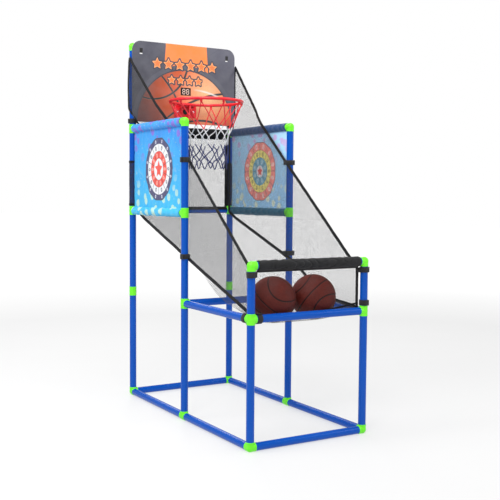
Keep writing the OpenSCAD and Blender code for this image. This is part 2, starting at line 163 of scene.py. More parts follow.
class Shape:
    """A mesh in the making, to which the forms that the pieces share are added."""

    def __init__(self) -> None:
        """Starts with no points and no faces."""
        self.points: list[np.ndarray] = []
        self.faces: list[tuple[int, ...]] = []
        self.count = 0

    def add(self, points: np.ndarray, faces: Iterable[Sequence[int]]) -> None:
        """Adds points, and faces that index them.

        Args:
            points: an array of points, one to a row.
            faces: each face's point numbers, counted within points.
        """
        points = np.asarray(points, float).reshape(-1, 3)
        self.faces += [tuple(i + self.count for i in face) for face in faces]
        self.points.append(points)
        self.count += len(points)

    def grid(self, rows: Sequence, ring: bool = False, loop: bool = False, caps: bool = False) -> None:
        """Adds a skin over rows of points.

        Args:
            rows: n rows of m points.
            ring: whether each row closes on itself.
            loop: whether the last row joins the first.
            caps: whether the first and last row are closed with a face.
        """
        rows = np.asarray(rows, float)
        n, m = rows.shape[:2]
        faces: list[Sequence[int]] = []
        for i in range(n if loop else n - 1):
            for j in range(m if ring else m - 1):
                a, b = i * m, (i + 1) % n * m
                k = (j + 1) % m
                faces.append((a + j, a + k, b + k, b + j))
        if caps:
            faces.append(tuple(range(m))[::-1])
            faces.append(tuple(range((n - 1) * m, n * m)))
        self.add(rows, faces)

    def sweep(
        self, path: np.ndarray, section: np.ndarray, side: Optional[Point] = None, loop: bool = False
    ) -> None:
        """Sweeps a closed section along a path.

        Args:
            path: the points of the path.
            section: the section's points, across and along the side.
            side: the direction of the section's second axis, or None to carry it along the path.
            loop: whether the path closes on itself.
        """
        path = np.asarray(path, float)
        n = len(path)
        ahead = np.roll(path, -1, 0) - np.roll(path, 1, 0)
        if not loop:
            ahead[0], ahead[-1] = path[1] - path[0], path[-1] - path[-2]
        ahead /= np.linalg.norm(ahead, axis=1)[:, None]
        up = np.array(side if side is not None else least_axis(ahead[0]), float)
        rows = []
        for i in range(n):
            up = np.array(side, float) if side is not None else up
            up = up - ahead[i] * (up @ ahead[i])
            up /= np.linalg.norm(up)
            across = np.cross(ahead[i], up)
            rows.append(path[i] + section[:, :1] * across + section[:, 1:] * up)
        self.grid(rows, ring=True, loop=loop, caps=not loop)

    def cord(self, path: np.ndarray, radius: float, sides: int = 8, loop: bool = False) -> None:
        """Sweeps a round section along a path."""
        self.sweep(path, circle(radius, sides), loop=loop)

    def lathe(self, profile: Sequence[Point], middle: Point, axis: str = "z", turns: int = 48) -> None:
        """Turns a closed profile of (radius, height) points round an axis.

        Args:
            profile: the points of the profile, in order.
            middle: the point that the heights are counted from.
            axis: the axis of the turn, y or z.
            turns: how many sections the turn has.
        """
        angles = full_turn(turns)
        profile = np.asarray(profile, float)
        rows = np.array([
            np.stack([profile[:, 0] * cos(a), profile[:, 0] * sin(a), profile[:, 1]], 1)
            for a in angles
        ])
        order = {"z": [0, 1, 2], "y": [0, 2, 1]}[axis]
        self.grid(rows[:, :, order] + np.asarray(middle), ring=True, loop=True)

    def take(self, bm: bmesh.types.BMesh, middle: Point) -> None:
        """Adds the faces of an edit mesh and frees it.

        Args:
            bm: the edit mesh, built about the origin.
            middle: where its origin goes.
        """
        bm.verts.ensure_lookup_table()
        points = np.array([v.co[:] for v in bm.verts]) + np.asarray(middle)
        self.add(points, [[v.index for v in f.verts] for f in bm.faces])
        bm.free()

    def block(self, middle: Point, sides: Point, bevel: float) -> None:
        """Adds a box with rounded edges.

        Args:
            middle: the box's middle.
            sides: its side lengths.
            bevel: the radius of the edges.
        """
        bm = bmesh.new()
        bmesh.ops.create_cube(bm, size=1)
        bmesh.ops.scale(bm, vec=Vector(sides), verts=bm.verts)
        bmesh.ops.bevel(bm, geom=bm.edges[:], offset=bevel, segments=2, affect="EDGES", profile=0.5)
        self.take(bm, middle)

    def object(self, name: str, smooth: bool = True) -> Object:
        """Makes the mesh object, with its faces turned outwards.

        Args:
            name: the piece's name.
            smooth: whether its faces are shaded smooth.

        Returns:
            The new object, in the scene.
        """
        mesh = bpy.data.meshes.new(name)
        mesh.from_pydata(np.concatenate(self.points).tolist(), [], self.faces)
        bm = bmesh.new()
        bm.from_mesh(mesh)
        bmesh.ops.recalc_face_normals(bm, faces=bm.faces)
        bm.to_mesh(mesh)
        bm.free()
        if smooth:
            mesh.polygons.foreach_set("use_smooth", [True] * len(mesh.polygons))
        return to_scene(name, mesh)


def least_axis(direction: np.ndarray) -> np.ndarray:
    """The row axis that lies furthest from a direction."""
    axis = np.zeros(3)
    axis[int(np.argmin(np.abs(direction)))] = 1
    return axis


def full_turn(count: int) -> np.ndarray:
    """The angles of a full turn in equal steps, the last one short of the start."""
    return np.linspace(0, 2 * pi, count, endpoint=False)


def kept(share: float) -> float:
    """A number kept from 0 to 1."""
    return min(1.0, max(0.0, share))


def to_scene(name: str, data: bpy.types.ID) -> Object:
    """Makes an object of a mesh, curve, camera or light, in the scene."""
    made = bpy.data.objects.new(name, data)
    bpy.context.scene.collection.objects.link(made)
    return made


def circle(radius: float, sides: int) -> np.ndarray:
    """The points of a round section, as a regular polygon."""
    angles = full_turn(sides)
    return np.stack([radius * np.cos(angles), radius * np.sin(angles)], 1)


def tape(width: float, thick: float) -> np.ndarray:
    """The section of a flat tape with half-round edges, its width along the second axis.

    Args:
        width: the tape's width.
        thick: its thickness.

    Returns:
        The section's points.
    """
    r = thick / 2
    turn = np.linspace(0, pi, 5)
    top = np.stack([r * np.cos(turn), width / 2 - r + r * np.sin(turn)], 1)
    return np.concatenate([top, -top])


def spline(points: Sequence[Point], steps: int) -> np.ndarray:
    """A smooth curve through points (Catmull-Rom).

    Args:
        points: the points to pass through.
        steps: how many stretches between two of them.

    Returns:
        The curve's points.
    """
    p = np.asarray(points, float)
    p = np.concatenate([p[:1], p, p[-1:]])
    out = []
    for i in range(1, len(p) - 2):
        a, b, c, d = p[i - 1], p[i], p[i + 1], p[i + 2]
        for t in np.linspace(0, 1, steps, endpoint=False):
            out.append(0.5 * (2 * b + (c - a) * t + (2 * a - 5 * b + 4 * c - d) * t**2
                              + (3 * b - a - 3 * c + d) * t**3))
    out.append(p[-2])
    return np.array(out)


def ripple(point: Point, scale: float, seed: float = 0.0) -> float:
    """Smooth noise from -1 to 1 at a point, with scale waves to a metre; the seed moves the pattern."""
    return noise.noise(Vector(point) * scale + Vector((seed, seed * 1.7, -seed)))


def settle(piece: Object) -> Object:
    """Applies a piece's modifiers to its mesh.

    Args:
        piece: the object with the modifiers.

    Returns:
        The same object.
    """
    bpy.context.view_layer.update()
    seen = piece.evaluated_get(bpy.context.evaluated_depsgraph_get())
    mesh = bpy.data.meshes.new_from_object(seen)
    mesh.name = piece.name
    old = piece.data
    piece.modifiers.clear()
    piece.data = mesh
    bpy.data.meshes.remove(old)
    mesh.polygons.foreach_set("use_smooth", [True] * len(mesh.polygons))
    return piece


def modifier(piece: Object, kind: str, **settings: object) -> None:
    """Adds a modifier with its settings."""
    added = piece.modifiers.new(kind.lower(), kind)
    for key, value in settings.items():
        setattr(added, key, value)


def plate(
    name: str, outlines: Sequence[np.ndarray], y_front: float, thick: float, bevel: float
) -> Object:
    """A flat plate across the machine, cut from outlines in X and Z.

    Args:
        name: the piece's name.
        outlines: the outer outline, then the holes, each an array of (x, z) points.
        y_front: where its front face is.
        thick: its thickness.
        bevel: the radius of its edges.

    Returns:
        The plate.
    """
    curve = bpy.data.curves.new(name, "CURVE")
    curve.dimensions = "2D"
    curve.fill_mode = "BOTH"
    curve.extrude = thick / 2 - bevel
    curve.bevel_depth = bevel
    curve.bevel_resolution = 2
    curve.offset = -bevel
    for outline in outlines:
        line = curve.splines.new("POLY")
        line.points.add(len(outline) - 1)
        for point, (x, z) in zip(line.points, outline):
            point.co = (x, z, 0, 1)
        line.use_cyclic_u = True
    drawn = to_scene(name + "_outline", curve)
    bpy.context.view_layer.update()
    mesh = bpy.data.meshes.new_from_object(drawn.evaluated_get(bpy.context.evaluated_depsgraph_get()))
    bpy.data.objects.remove(drawn)
    bpy.data.curves.remove(curve)
    mesh.transform(Matrix.Translation((0, y_front + thick / 2, 0)) @ Matrix.Rotation(pi / 2, 4, "X"))
    bm = bmesh.new()
    bm.from_mesh(mesh)
    bmesh.ops.remove_doubles(bm, verts=bm.verts, dist=1e-6)
    bmesh.ops.recalc_face_normals(bm, faces=bm.faces)
    bm.to_mesh(mesh)
    bm.free()
    mesh.name = name
    return to_scene(name, mesh)


def round_rect(x: float, z: float, w: float, h: float, r: float, steps: int = 8) -> np.ndarray:
    """The outline of a rectangle with round corners.

    Args:
        x: its middle across.
        z: its middle height.
        w: its width.
        h: its height.
        r: the radius of its corners.
        steps: how many stretches round each corner.

    Returns:
        The outline's (x, z) points.
    """
    out = []
    for corner, (sx, sz) in enumerate([(1, 1), (-1, 1), (-1, -1), (1, -1)]):
        for i in range(steps + 1):
            a = pi / 2 * (corner + i / steps)
            out.append((x + sx * (w / 2 - r) + r * cos(a), z + sz * (h / 2 - r) + r * sin(a)))
    return np.array(out)


def ring_outline(x: float, z: float, r: float, steps: int = 32) -> np.ndarray:
    """The outline of a round hole."""
    return circle(r, steps) + np.array([x, z])


# ---- shader fields


Value = Union["Field", float]


class Field:
    """A number at each point of a surface, worked out by shader nodes."""

    def __init__(self, canvas: "Canvas", socket: bpy.types.NodeSocket) -> None:
        """Holds the output socket that has the number, and the material that it is in."""
        self.canvas = canvas
        self.socket = socket

    def __add__(self, other: Value) -> "Field":
        """Sum."""
        return self.canvas.maths("ADD", self, other)

    def __sub__(self, other: Value) -> "Field":
        """Difference."""
        return self.canvas.maths("SUBTRACT", self, other)

    def __mul__(self, other: Value) -> "Field":
        """Product."""
        return self.canvas.maths("MULTIPLY", self, other)

    def __truediv__(self, other: Value) -> "Field":
        """Quotient."""
        return self.canvas.maths("DIVIDE", self, other)

    def __neg__(self) -> "Field":
        """The negative, as 1 less the field: the other side of a mask."""
        return self.canvas.maths("SUBTRACT", 1.0, self)

    def of(self, operation: str, *others: Value) -> "Field":
        """Any other operation of the Math node, with this field first."""
        return self.canvas.maths(operation, self, *others)

    def unsigned(self) -> "Field":
        """The field without its sign."""
        return self.canvas.maths("ABSOLUTE", self)

    def scaled(self, factor: Value, shift: Value) -> "Field":
        """The field times a factor, and a shift added."""
        return self.canvas.maths("MULTIPLY_ADD", self, factor, shift)

    def below(self, limit: Value, soft: float) -> "Field":
        """A mask, 1 where the field is below a limit, that changes over the width given as soft."""
        step = self.canvas.maths("SUBTRACT", limit, self)
        return self.canvas.maths("MULTIPLY_ADD", step, 1 / soft, 0.5, clamp=True)

    def above(self, limit: Value, soft: float) -> "Field":
        """A mask, 1 where the field is above a limit."""
        return -self.below(limit, soft)

    def between(self, low: float, high: float, soft: float) -> "Field":
        """A mask, 1 between two limits."""
        return self.above(low, soft) * self.below(high, soft)


def distance(u: Field, v: Field) -> Field:
    """How far a place is from where two fields are both 0."""
    return (u * u + v * v).of("SQRT")


class Canvas:
    """A material in the making: its shader and the fields that feed it."""

    def __init__(self, name: str) -> None:
        """Makes an empty material with its shader.

        Args:
            name: the material's name.
        """
        self.material = bpy.data.materials.new(name)
        self.material.use_nodes = True
        self.tree = self.material.node_tree
        self.tree.nodes.clear()
        self.shader = self.node("BsdfPrincipled")
        output = self.node("OutputMaterial")
        self.tree.links.new(self.shader.outputs[0], output.inputs[0])
        self.place = self.node("TexCoord").outputs["Object"]
        split = self.node("SeparateXYZ")
        self.tree.links.new(self.place, split.inputs[0])
        self.x, self.y, self.z = (Field(self, socket) for socket in split.outputs)

    def node(self, kind: str, **settings: object) -> bpy.types.Node:
        """Adds a shader node with its settings."""
        made = self.tree.nodes.new("ShaderNode" + kind)
        for key, value in settings.items():
            setattr(made, key, value)
        return made

    def feed(self, socket: bpy.types.NodeSocket, value: object) -> None:
        """Puts a field, a colour or a number on an input socket."""
        if isinstance(value, Field):
            self.tree.links.new(value.socket, socket)
        elif isinstance(value, bpy.types.NodeSocket):
            self.tree.links.new(value, socket)
        elif isinstance(value, tuple):
            socket.default_value = (*value, 1.0) if len(value) == 3 and socket.type == "RGBA" else value
        else:
            socket.default_value = value

    def maths(self, operation: str, *values: Value, clamp: bool = False) -> Field:
        """A Math node.

        Args:
            operation: the node's operation.
            values: its inputs.
            clamp: whether the result is kept from 0 to 1.

        Returns:
            The result.
        """
        node = self.node("Math", operation=operation, use_clamp=clamp)
        for socket, value in zip(node.inputs, values):
            self.feed(socket, value)
        return Field(self, node.outputs[0])

    def attribute(self, name: str) -> Field:
        """A number stored on the mesh's points."""
        return Field(self, self.node("Attribute", attribute_name=name).outputs["Fac"])

    def noise(self, waves: float, detail: float = 2.0, stretch: Point = (1, 1, 1)) -> Field:
        """Smooth noise.

        Args:
            waves: how many waves to a metre.
            detail: how many finer layers it has.
            stretch: factors on the waves along X, Y and Z.

        Returns:
            The noise, about 0 to 1.
        """
        scaled = self.node("VectorMath", operation="MULTIPLY")
        self.tree.links.new(self.place, scaled.inputs[0])
        scaled.inputs[1].default_value = tuple(waves * s for s in stretch)
        node = self.node("TexNoise")
        node.inputs["Scale"].default_value = 1.0
        node.inputs["Detail"].default_value = detail
        self.tree.links.new(scaled.outputs[0], node.inputs["Vector"])
        return Field(self, node.outputs["Fac"])

    def cells(self, size_m: float, feature: str = "F1") -> Field:
        """The distance in a cell pattern.

        Args:
            size_m: the size of a cell, in metres.
            feature: the Voronoi node's feature.

        Returns:
            The distance, in cells.
        """
        node = self.node("TexVoronoi", feature=feature)
        node.inputs["Scale"].default_value = 1 / size_m
        self.tree.links.new(self.place, node.inputs["Vector"])
        return Field(self, node.outputs["Distance"])

    def mix(self, mask: Value, below: object, above: object) -> bpy.types.NodeSocket:
        """Mixes two colours.

        Args:
            mask: 0 gives the first colour, 1 the second.
            below: the first colour, or a socket with one.
            above: the second.

        Returns:
            The socket with the mixed colour.
        """
        node = self.node("Mix", data_type="RGBA")
        self.feed(node.inputs["Factor"], mask)
        self.feed(node.inputs["A"], below)
        self.feed(node.inputs["B"], above)
        return node.outputs["Result"]

    def glow(self, colour: object, strength: float) -> None:
        """Gives the surface some light of its own."""
        self.feed(self.shader.inputs["Emission Color"], colour)
        self.shader.inputs["Emission Strength"].default_value = strength

    def weave(self, u: Field, v: Field, thread: float) -> Field:
        """The height of a plain weave.

        Args:
            u: the place along one thread.
            v: the place along the other.
            thread: the distance from thread to thread, in metres.

        Returns:
            The height, from 0 to 1.
        """
        a = (u * (pi / thread)).of("SINE")
        b = (v * (pi / thread)).of("SINE")
        return (a * b).scaled(0.5, 0.5)

    def dress(
        self,
        colour: object,
        rough: Value = 0.5,
        relief: Optional[Value] = None,
        depth: float = 0.0002,
        alpha: Optional[Value] = None,
        **plain: float,
    ) -> Material:
        """Feeds the shader.

        Args:
            colour: the base colour.
            rough: the roughness.
            relief: the height of the surface, 0 to 1, or None.
            depth: how high a relief of 1 stands, in metres.
            alpha: how solid the surface is, or None.
            plain: other inputs of the shader, by name with _ for a space.

        Returns:
            The material.
        """
        self.feed(self.shader.inputs["Base Color"], colour)
        self.feed(self.shader.inputs["Roughness"], rough)
        for name, value in plain.items():
            self.shader.inputs[name.replace("_", " ").title().replace("Ior", "IOR")].default_value = value
        if alpha is not None:
            self.feed(self.shader.inputs["Alpha"], alpha)
        if relief is not None:
            bump = self.node("Bump")
            bump.inputs["Distance"].default_value = depth
            self.feed(bump.inputs["Height"], relief)
            self.tree.links.new(bump.outputs[0], self.shader.inputs["Normal"])
        return self.material


# ---- finishes


class Across(Enum):
    """The two row axes that a cloth's threads run along."""

    SIDE = ("y", "z")
    FACE = ("x", "z")
    LEVEL = ("x", "y")

    def fields(self, canvas: Canvas) -> tuple[Field, Field]:
        """The two fields of a canvas that the threads follow."""
        return getattr(canvas, self.value[0]), getattr(canvas, self.value[1])


@dataclass(frozen=True)
class TubePaint:
    """Gloss powder coat on steel tube: faint orange peel, rubbed and dusty patches.

    Attributes:
        colour: the coat's colour.
        rubbed: its colour where hands and fittings have dulled it.
    """

    colour: Colour = srgb(0, 76, 174)
    rubbed: Colour = srgb(0, 84, 186)

    def make(self) -> Material:
        """Makes the material."""
        c = Canvas("blue_tube_paint")
        patches = c.noise(9, 4).scaled(2.2, -0.75)
        scuffs = c.noise(60, 6, (1, 1, 6)).above(0.64, 0.05)
        rough = patches.scaled(0.06, 0.17) + scuffs * 0.12
        peel = c.noise(420, 1.5)
        return c.dress(c.mix(patches.of("MULTIPLY", 0.5), self.colour, self.rubbed), rough, peel, 0.00006,
                       specular_ior_level=0.22)


@dataclass(frozen=True)
class Moulded:
    """Injection-moulded plastic with a fine spark texture and slight shade changes.

    Attributes:
        name: the material's name.
        colour: the plastic's colour.
        shade: the colour where the moulding is duller.
        rough: its roughness.
        grain: the size of the texture's grain, in metres.
        glow: how much light scatters inside it.
    """

    name: str
    colour: Colour
    shade: Colour
    rough: float = 0.38
    grain: float = 0.0006
    glow: float = 0.0

    def make(self) -> Material:
        """Makes the material."""
        c = Canvas(self.name)
        flow = c.noise(45, 3).scaled(1.8, -0.4)
        marks = c.noise(260, 5, (1, 2.5, 0.6)).above(0.66, 0.06)
        rough = flow.scaled(0.08, self.rough) + marks * 0.12
        colour = c.mix(flow, self.colour, self.shade)
        return c.dress(colour, rough, c.noise(1 / self.grain, 2), self.grain / 12,
                       subsurface_weight=self.glow, subsurface_scale=0.002)


@dataclass(frozen=True)
class Metal:
    """Plated or bare metal with fine brushing.

    Attributes:
        name: the material's name.
        colour: the metal's colour.
        rough: its roughness.
    """

    name: str
    colour: Colour
    rough: float = 0.3

    def make(self) -> Material:
        """Makes the material."""
        c = Canvas(self.name)
        brushed = c.noise(900, 3, (1, 0.1, 1))
        spots = c.noise(300, 4).above(0.6, 0.1)
        colour = c.mix(spots, self.colour, tuple(0.7 * v for v in self.colour))
        return c.dress(colour, brushed.scaled(0.2, self.rough - 0.1), brushed, 0.00002, metallic=1.0)


@dataclass(frozen=True)
class Cloth:
    """Woven cloth: threads over and under, sheen, lint and slack folds in its colour.

    Attributes:
        name: the material's name.
        colour: the cloth's colour.
        faded: its colour where it is rubbed.
        across: the axes that the threads follow.
        thread: the distance from thread to thread, in metres.
        sheen: how much its fibres catch the light.
    """

    name: str
    colour: Colour
    faded: Colour
    across: Across = Across.FACE
    thread: float = 0.0009
    sheen: float = 0.06

    def make(self) -> Material:
        """Makes the material."""
        c = Canvas(self.name)
        u, v = self.across.fields(c)
        weave = c.weave(u, v, self.thread)
        fade = c.noise(28, 5).scaled(2.4, -0.8)
        lint = c.noise(700, 3, (1, 0.3, 1)).above(0.68, 0.03)
        colour = c.mix(lint * 0.5, c.mix(fade, self.colour, self.faded), tuple(1.8 * t for t in self.faded))
        return c.dress(colour, weave.scaled(-0.12, 0.86), weave, self.thread * 0.35,
                       sheen_weight=self.sheen, sheen_roughness=0.5, specular_ior_level=0.25)


@dataclass(frozen=True)
class MeshCloth:
    """Open knitted mesh: slanting threads round small diamond holes.

    Attributes:
        name: the material's name.
        across: the axes that the holes line up with.
        colour: the threads' colour.
        hole_w: the distance from hole to hole across.
        hole_h: the same the other way.
        thread: the width of a thread.
    """

    name: str
    across: Across
    colour: Colour = srgb(62, 62, 66)
    hole_w: float = 0.0052
    hole_h: float = 0.0062
    thread: float = 0.00054

    def make(self) -> Material:
        """Makes the material."""
        c = Canvas(self.name)
        u, v = self.across.fields(c)
        drift = c.noise(35, 2).scaled(0.4, -0.2)
        a = u / self.hole_w + drift
        b = v / self.hole_h
        half = c.noise(230, 2).scaled(2.4 * self.thread / self.hole_w, -0.2 * self.thread / self.hole_w)
        threads = None
        for way in (a + b, a - b):
            off = way.of("PINGPONG", 0.5)
            line = off.below(half, 0.06)
            threads = line if threads is None else threads.of("MAXIMUM", line)
        knots = (a + b).of("PINGPONG", 0.5) + (a - b).of("PINGPONG", 0.5)
        solid = threads.of("MAXIMUM", knots.below(0.13, 0.05))
        colour = c.mix(c.noise(500, 2), self.colour, tuple(0.55 * t for t in self.colour))
        return c.dress(colour, 0.7, solid, 0.0001, solid, sheen_weight=0.05)


@dataclass(frozen=True)
class HookLoop:
    """Hook-and-loop tape: a matted pile."""

    name: str = "black_hook_and_loop"
    colour: Colour = srgb(16, 16, 18)

    def make(self) -> Material:
        """Makes the material."""
        c = Canvas(self.name)
        pile = c.cells(0.0011)
        fuzz = c.noise(1300, 4)
        height = pile * 0.6 + fuzz * 0.5
        # Painted shade and light: the pile is darker in its hollows and lighter on its tops, following its
        # relief.
        colour = c.mix(height, self.colour, tuple(1.8 * t for t in self.colour))
        return c.dress(colour, 0.85, height, 0.0005, sheen_weight=0.08, sheen_roughness=0.6)


@dataclass(frozen=True)
class RimPaint:
    """Red moulded rim: satin, with scuffs on top where balls land."""

    colour: Colour = srgb(238, 12, 36)
    worn: Colour = srgb(214, 16, 34)

    def make(self) -> Material:
        """Makes the material."""
        c = Canvas("red_rim_plastic")
        patches = c.noise(30, 4).scaled(2.0, -0.6)
        scuff = c.noise(200, 6, (1, 1, 3)).above(0.62, 0.05)
        rough = patches.scaled(0.10, 0.30) + scuff * 0.2
        return c.dress(c.mix(patches * 0.6, self.colour, self.worn), rough, c.noise(900, 2), 0.00005,
                       coat_weight=0.2, coat_roughness=0.2, subsurface_weight=0.05, subsurface_scale=0.002)


@dataclass(frozen=True)
class NetCord:
    """Braided net cord, dyed in three bands from the rim down.

    Attributes:
        bands: the heights of the two changes of colour, in metres, highest first.
    """

    bands: tuple[float, float]
    red: Colour = srgb(246, 22, 40)
    white: Colour = srgb(226, 228, 232)
    navy: Colour = srgb(20, 34, 104)

    def make(self) -> Material:
        """Makes the material."""
        c = Canvas("hoop_net_cord")
        drift = c.noise(120, 2).scaled(0.006, -0.003)
        height = c.z + drift
        colour = c.mix(height.above(self.bands[1], 0.003), self.navy, self.white)
        colour = c.mix(height.above(self.bands[0], 0.003), colour, self.red)
        turn = (c.x + c.y) * 0.7
        braid = c.weave(turn + c.z, turn - c.z, 0.0011)
        # Painted shade: the cord is darkened in the low grooves of its braid.
        shaded = c.mix(braid.scaled(-0.28, 0.28), colour, srgb(30, 30, 36))
        return c.dress(shaded, 0.8, braid, 0.0004, sheen_weight=0.3)


@dataclass(frozen=True)
class BallRubber:
    """Pebbled rubber with smooth dark seams, from the ball's own seam field, and painted shade in the gaps
    between the pebbles.
    """

    colour: Colour = srgb(84, 26, 19)
    dusty: Colour = srgb(96, 34, 26)
    seam: Colour = srgb(14, 10, 10)

    def make(self) -> Material:
        """Makes the material."""
        c = Canvas("ball_rubber")
        seam = c.attribute("seam")
        pebble = c.cells(0.0024, "SMOOTH_F1").below(0.42, 0.35)
        dust = c.noise(38, 5).scaled(2.0, -0.6)
        colour = c.mix(dust, self.colour, self.dusty)
        # Painted shade: the gaps between the pebbles are darkened towards the seam colour.
        colour = c.mix(pebble.scaled(-0.25, 0.25), colour, self.seam)
        colour = c.mix(seam, colour, self.seam)
        relief = pebble * (-seam)
        return c.dress(colour, dust.scaled(0.14, 0.46), relief, 0.00045, specular_ior_level=0.20)


@dataclass(frozen=True)
class PlainSkin:
    """Small electrical parts: one colour with printed or moulded variation.

    Attributes:
        name: the material's name.
        colour: the part's colour.
        mark: the colour of its speckle.
        rough: its roughness.
        speckle: the size of the speckle, in metres.
    """

    name: str
    colour: Colour
    mark: Colour
    rough: float = 0.5
    speckle: float = 0.002

    def make(self) -> Material:
        """Makes the material."""
        c = Canvas(self.name)
        spots = c.cells(self.speckle).above(0.45, 0.1)
        tone = c.noise(1 / self.speckle / 4, 3)
        return c.dress(c.mix(spots * 0.35, self.colour, self.mark), tone.scaled(0.15, self.rough - 0.07),
                       tone, 0.00003)


def star(u: Field, v: Field, radius: float) -> Field:
    """The distance field of a five-pointed star.

    Args:
        u: the place across, from the star's middle.
        v: the place upwards.
        radius: the distance to its points.

    Returns:
        The distance beyond the star's edge, negative inside.
    """
    fifth = 2 * pi / 5
    inner = 0.50 * radius
    tip = np.array([radius, 0.0])
    dip = inner * np.array([cos(fifth / 2), sin(fifth / 2)])
    edge = (dip - tip) / np.linalg.norm(dip - tip)
    normal = np.array([edge[1], -edge[0]])
    normal = normal if normal @ tip > 0 else -normal
    lean = math.atan2(normal[1], normal[0])
    reach = float(normal @ tip)
    r = distance(u, v)
    turn = u.of("ARCTAN2", v).unsigned() / fifth
    folded = (turn + 0.5).of("FRACT").scaled(fifth, -fifth / 2).unsigned()
    return (r * (folded - lean).of("COSINE") - reach).of("MAXIMUM", r - radius * 0.97)


@dataclass(frozen=True)
class BoardPrint:
    """The backboard's face: a slate ground, a top band, rows of stars and a large ball.

    Attributes:
        middle: the printed ball's middle, (x, z).
        ball_r: its radius.
        top: the height of the board's top edge.
        width: the board's width.
        back: where its unprinted back face is.
    """

    middle: tuple[float, float]
    ball_r: float
    top: float
    width: float
    back: float
    slate_top: Colour = srgb(90, 90, 104)
    slate_low: Colour = srgb(62, 63, 72)
    orange: Colour = srgb(252, 138, 58)
    orange_edge: Colour = srgb(255, 170, 104)
    ink: Colour = srgb(62, 64, 76)
    seam: Colour = srgb(36, 54, 56)

    # Seams of the printed ball, each an arc through three (x, z) points from its middle, in mm
    SEAMS = (
        ((-104, 178), (-53, 116), (-6, 8)),
        ((-190, 95), (-60, 112), (-2, 182)),
        ((-92, 7), (13, 78), (165, 124)),
        ((-4, 2), (62, 14), (150, 2)),
    )

    def row_of_stars(self, c: Canvas, count: int, pitch: float, height: float, radius: float) -> Field:
        """Distance field of a row of stars about the board's middle plane.

        Args:
            c: the canvas.
            count: how many stars.
            pitch: the distance from star to star.
            height: the height of the row.
            radius: the stars' radius.

        Returns:
            The distance beyond the nearest star's edge.
        """
        along = c.x / pitch + (0.5 if count % 2 == 0 else 0.0) + 20.0
        cell = (along + 0.5).of("FRACT") - 0.5
        inside = c.x.unsigned().below(count * pitch / 2, 0.0005)
        return star(cell * pitch, c.z - height, radius) + (-inside) * 1.0

    def ground(self, c: Canvas) -> tuple[Field, bpy.types.NodeSocket]:
        """The slate ground with its two slanting lines and its orange band.

        Args:
            c: the canvas.

        Returns:
            How light each place is, and the ground's colour.
        """
        from_top = (c.z * -1.0 + self.top) / 0.303
        across = c.x / self.width
        lit = across * 0.5 + (-from_top) * 0.6 + 0.10
        paper = c.mix(lit, self.slate_low, self.slate_top)
        for angle, shift in ((0.62, 0.098), (-0.62, 0.098)):
            line = (c.x * sin(angle) + c.z - (self.top - 0.19) - shift).unsigned()
            paper = c.mix(line.below(0.0009, 0.0006) * 0.5, paper, self.ink)
        flare = from_top.scaled(0.022, 0.088)
        band = (c.x - 0.006).unsigned().below(flare, 0.0008) * from_top.below(0.42, 0.004)
        band_colour = c.mix(c.noise(14, 2), self.orange, srgb(246, 128, 62))
        return lit, c.mix(band, paper, band_colour)

    def with_ball(self, c: Canvas, lit: Field, colour: bpy.types.NodeSocket) -> bpy.types.NodeSocket:
        """Prints the large ball, with its seams and its gleam, over the ground.

        Args:
            c: the canvas.
            lit: how light each place is.
            colour: the ground's colour.

        Returns:
            The colour with the ball.
        """
        u = c.x - self.middle[0]
        v = c.z - self.middle[1]
        r = distance(u, v)
        halo = r.below(self.ball_r + 0.021, 0.0008)
        colour = c.mix(halo, colour, c.mix(lit, srgb(74, 75, 86), srgb(96, 97, 108)))
        ring = r.below(self.ball_r + 0.0045, 0.0008)
        colour = c.mix(ring, colour, srgb(62, 64, 72))
        far = distance(u - 0.095, v - 0.115) / 0.30
        leather = c.mix(far.below(0.20, 0.55), srgb(222, 98, 52), srgb(255, 208, 152))
        leather = c.mix(far.above(0.66, 0.62), leather, srgb(104, 52, 40))
        pebble = c.cells(0.0052).below(0.32, 0.4)
        leather = c.mix(pebble * 0.22, leather, srgb(150, 70, 50))
        ball = r.below(self.ball_r, 0.0008)
        colour = c.mix(ball, colour, leather)
        for points in self.SEAMS:
            (x, z), radius = circle_through(*[(p[0] * MM, p[1] * MM) for p in points])
            off = (distance(u - x, v - z) - radius).unsigned()
            colour = c.mix(off.below(0.0046, 0.0008) * ball, colour, srgb(176, 96, 70))
            colour = c.mix(off.below(0.0034, 0.0008) * ball, colour, self.seam)
        gleam = (distance(u - 0.03, v + 0.19) - 0.322).unsigned()
        near = u.between(0.055, 0.150, 0.05)
        return c.mix(gleam.below(0.003, 0.004) * near * ball * 0.8, colour, srgb(246, 240, 232))

    def with_stars(self, c: Canvas, colour: bpy.types.NodeSocket) -> bpy.types.NodeSocket:
        """Prints the two rows of stars, each star outlined and filled.

        Args:
            c: the canvas.
            colour: the colour under them.

        Returns:
            The colour with the stars.
        """
        for count, pitch, height, radius in ((6, 0.0475, self.top - 0.079, 0.0228),
                                             (4, 0.0385, self.top - 0.137, 0.0182)):
            stars = self.row_of_stars(c, count, pitch, height, radius)
            colour = c.mix(stars.below(0.0050, 0.0006), colour, self.ink)
            colour = c.mix(stars.below(0.0, 0.0006), colour, self.orange_edge)
            colour = c.mix(stars.below(-0.0026, 0.0006), colour, srgb(250, 122, 58))
        return colour

    def make(self) -> Material:
        """Makes the material."""
        c = Canvas("printed_board_face")
        lit, colour = self.ground(c)
        colour = self.with_stars(c, self.with_ball(c, lit, colour))
        dust = c.noise(22, 5).scaled(1.8, -0.5)
        colour = c.mix(dust * 0.10, colour, srgb(200, 200, 206))
        fibre = c.mix(c.noise(160, 5, (1, 1, 3)), srgb(138, 104, 72), srgb(112, 82, 56))
        colour = c.mix(c.y.above(self.back - 0.0009, 0.0002), colour, fibre)
        rough = dust.scaled(0.12, 0.30)
        return c.dress(colour, rough, c.noise(520, 2), 0.00006,
                       coat_weight=0.1, coat_roughness=0.2, specular_ior_level=0.4)


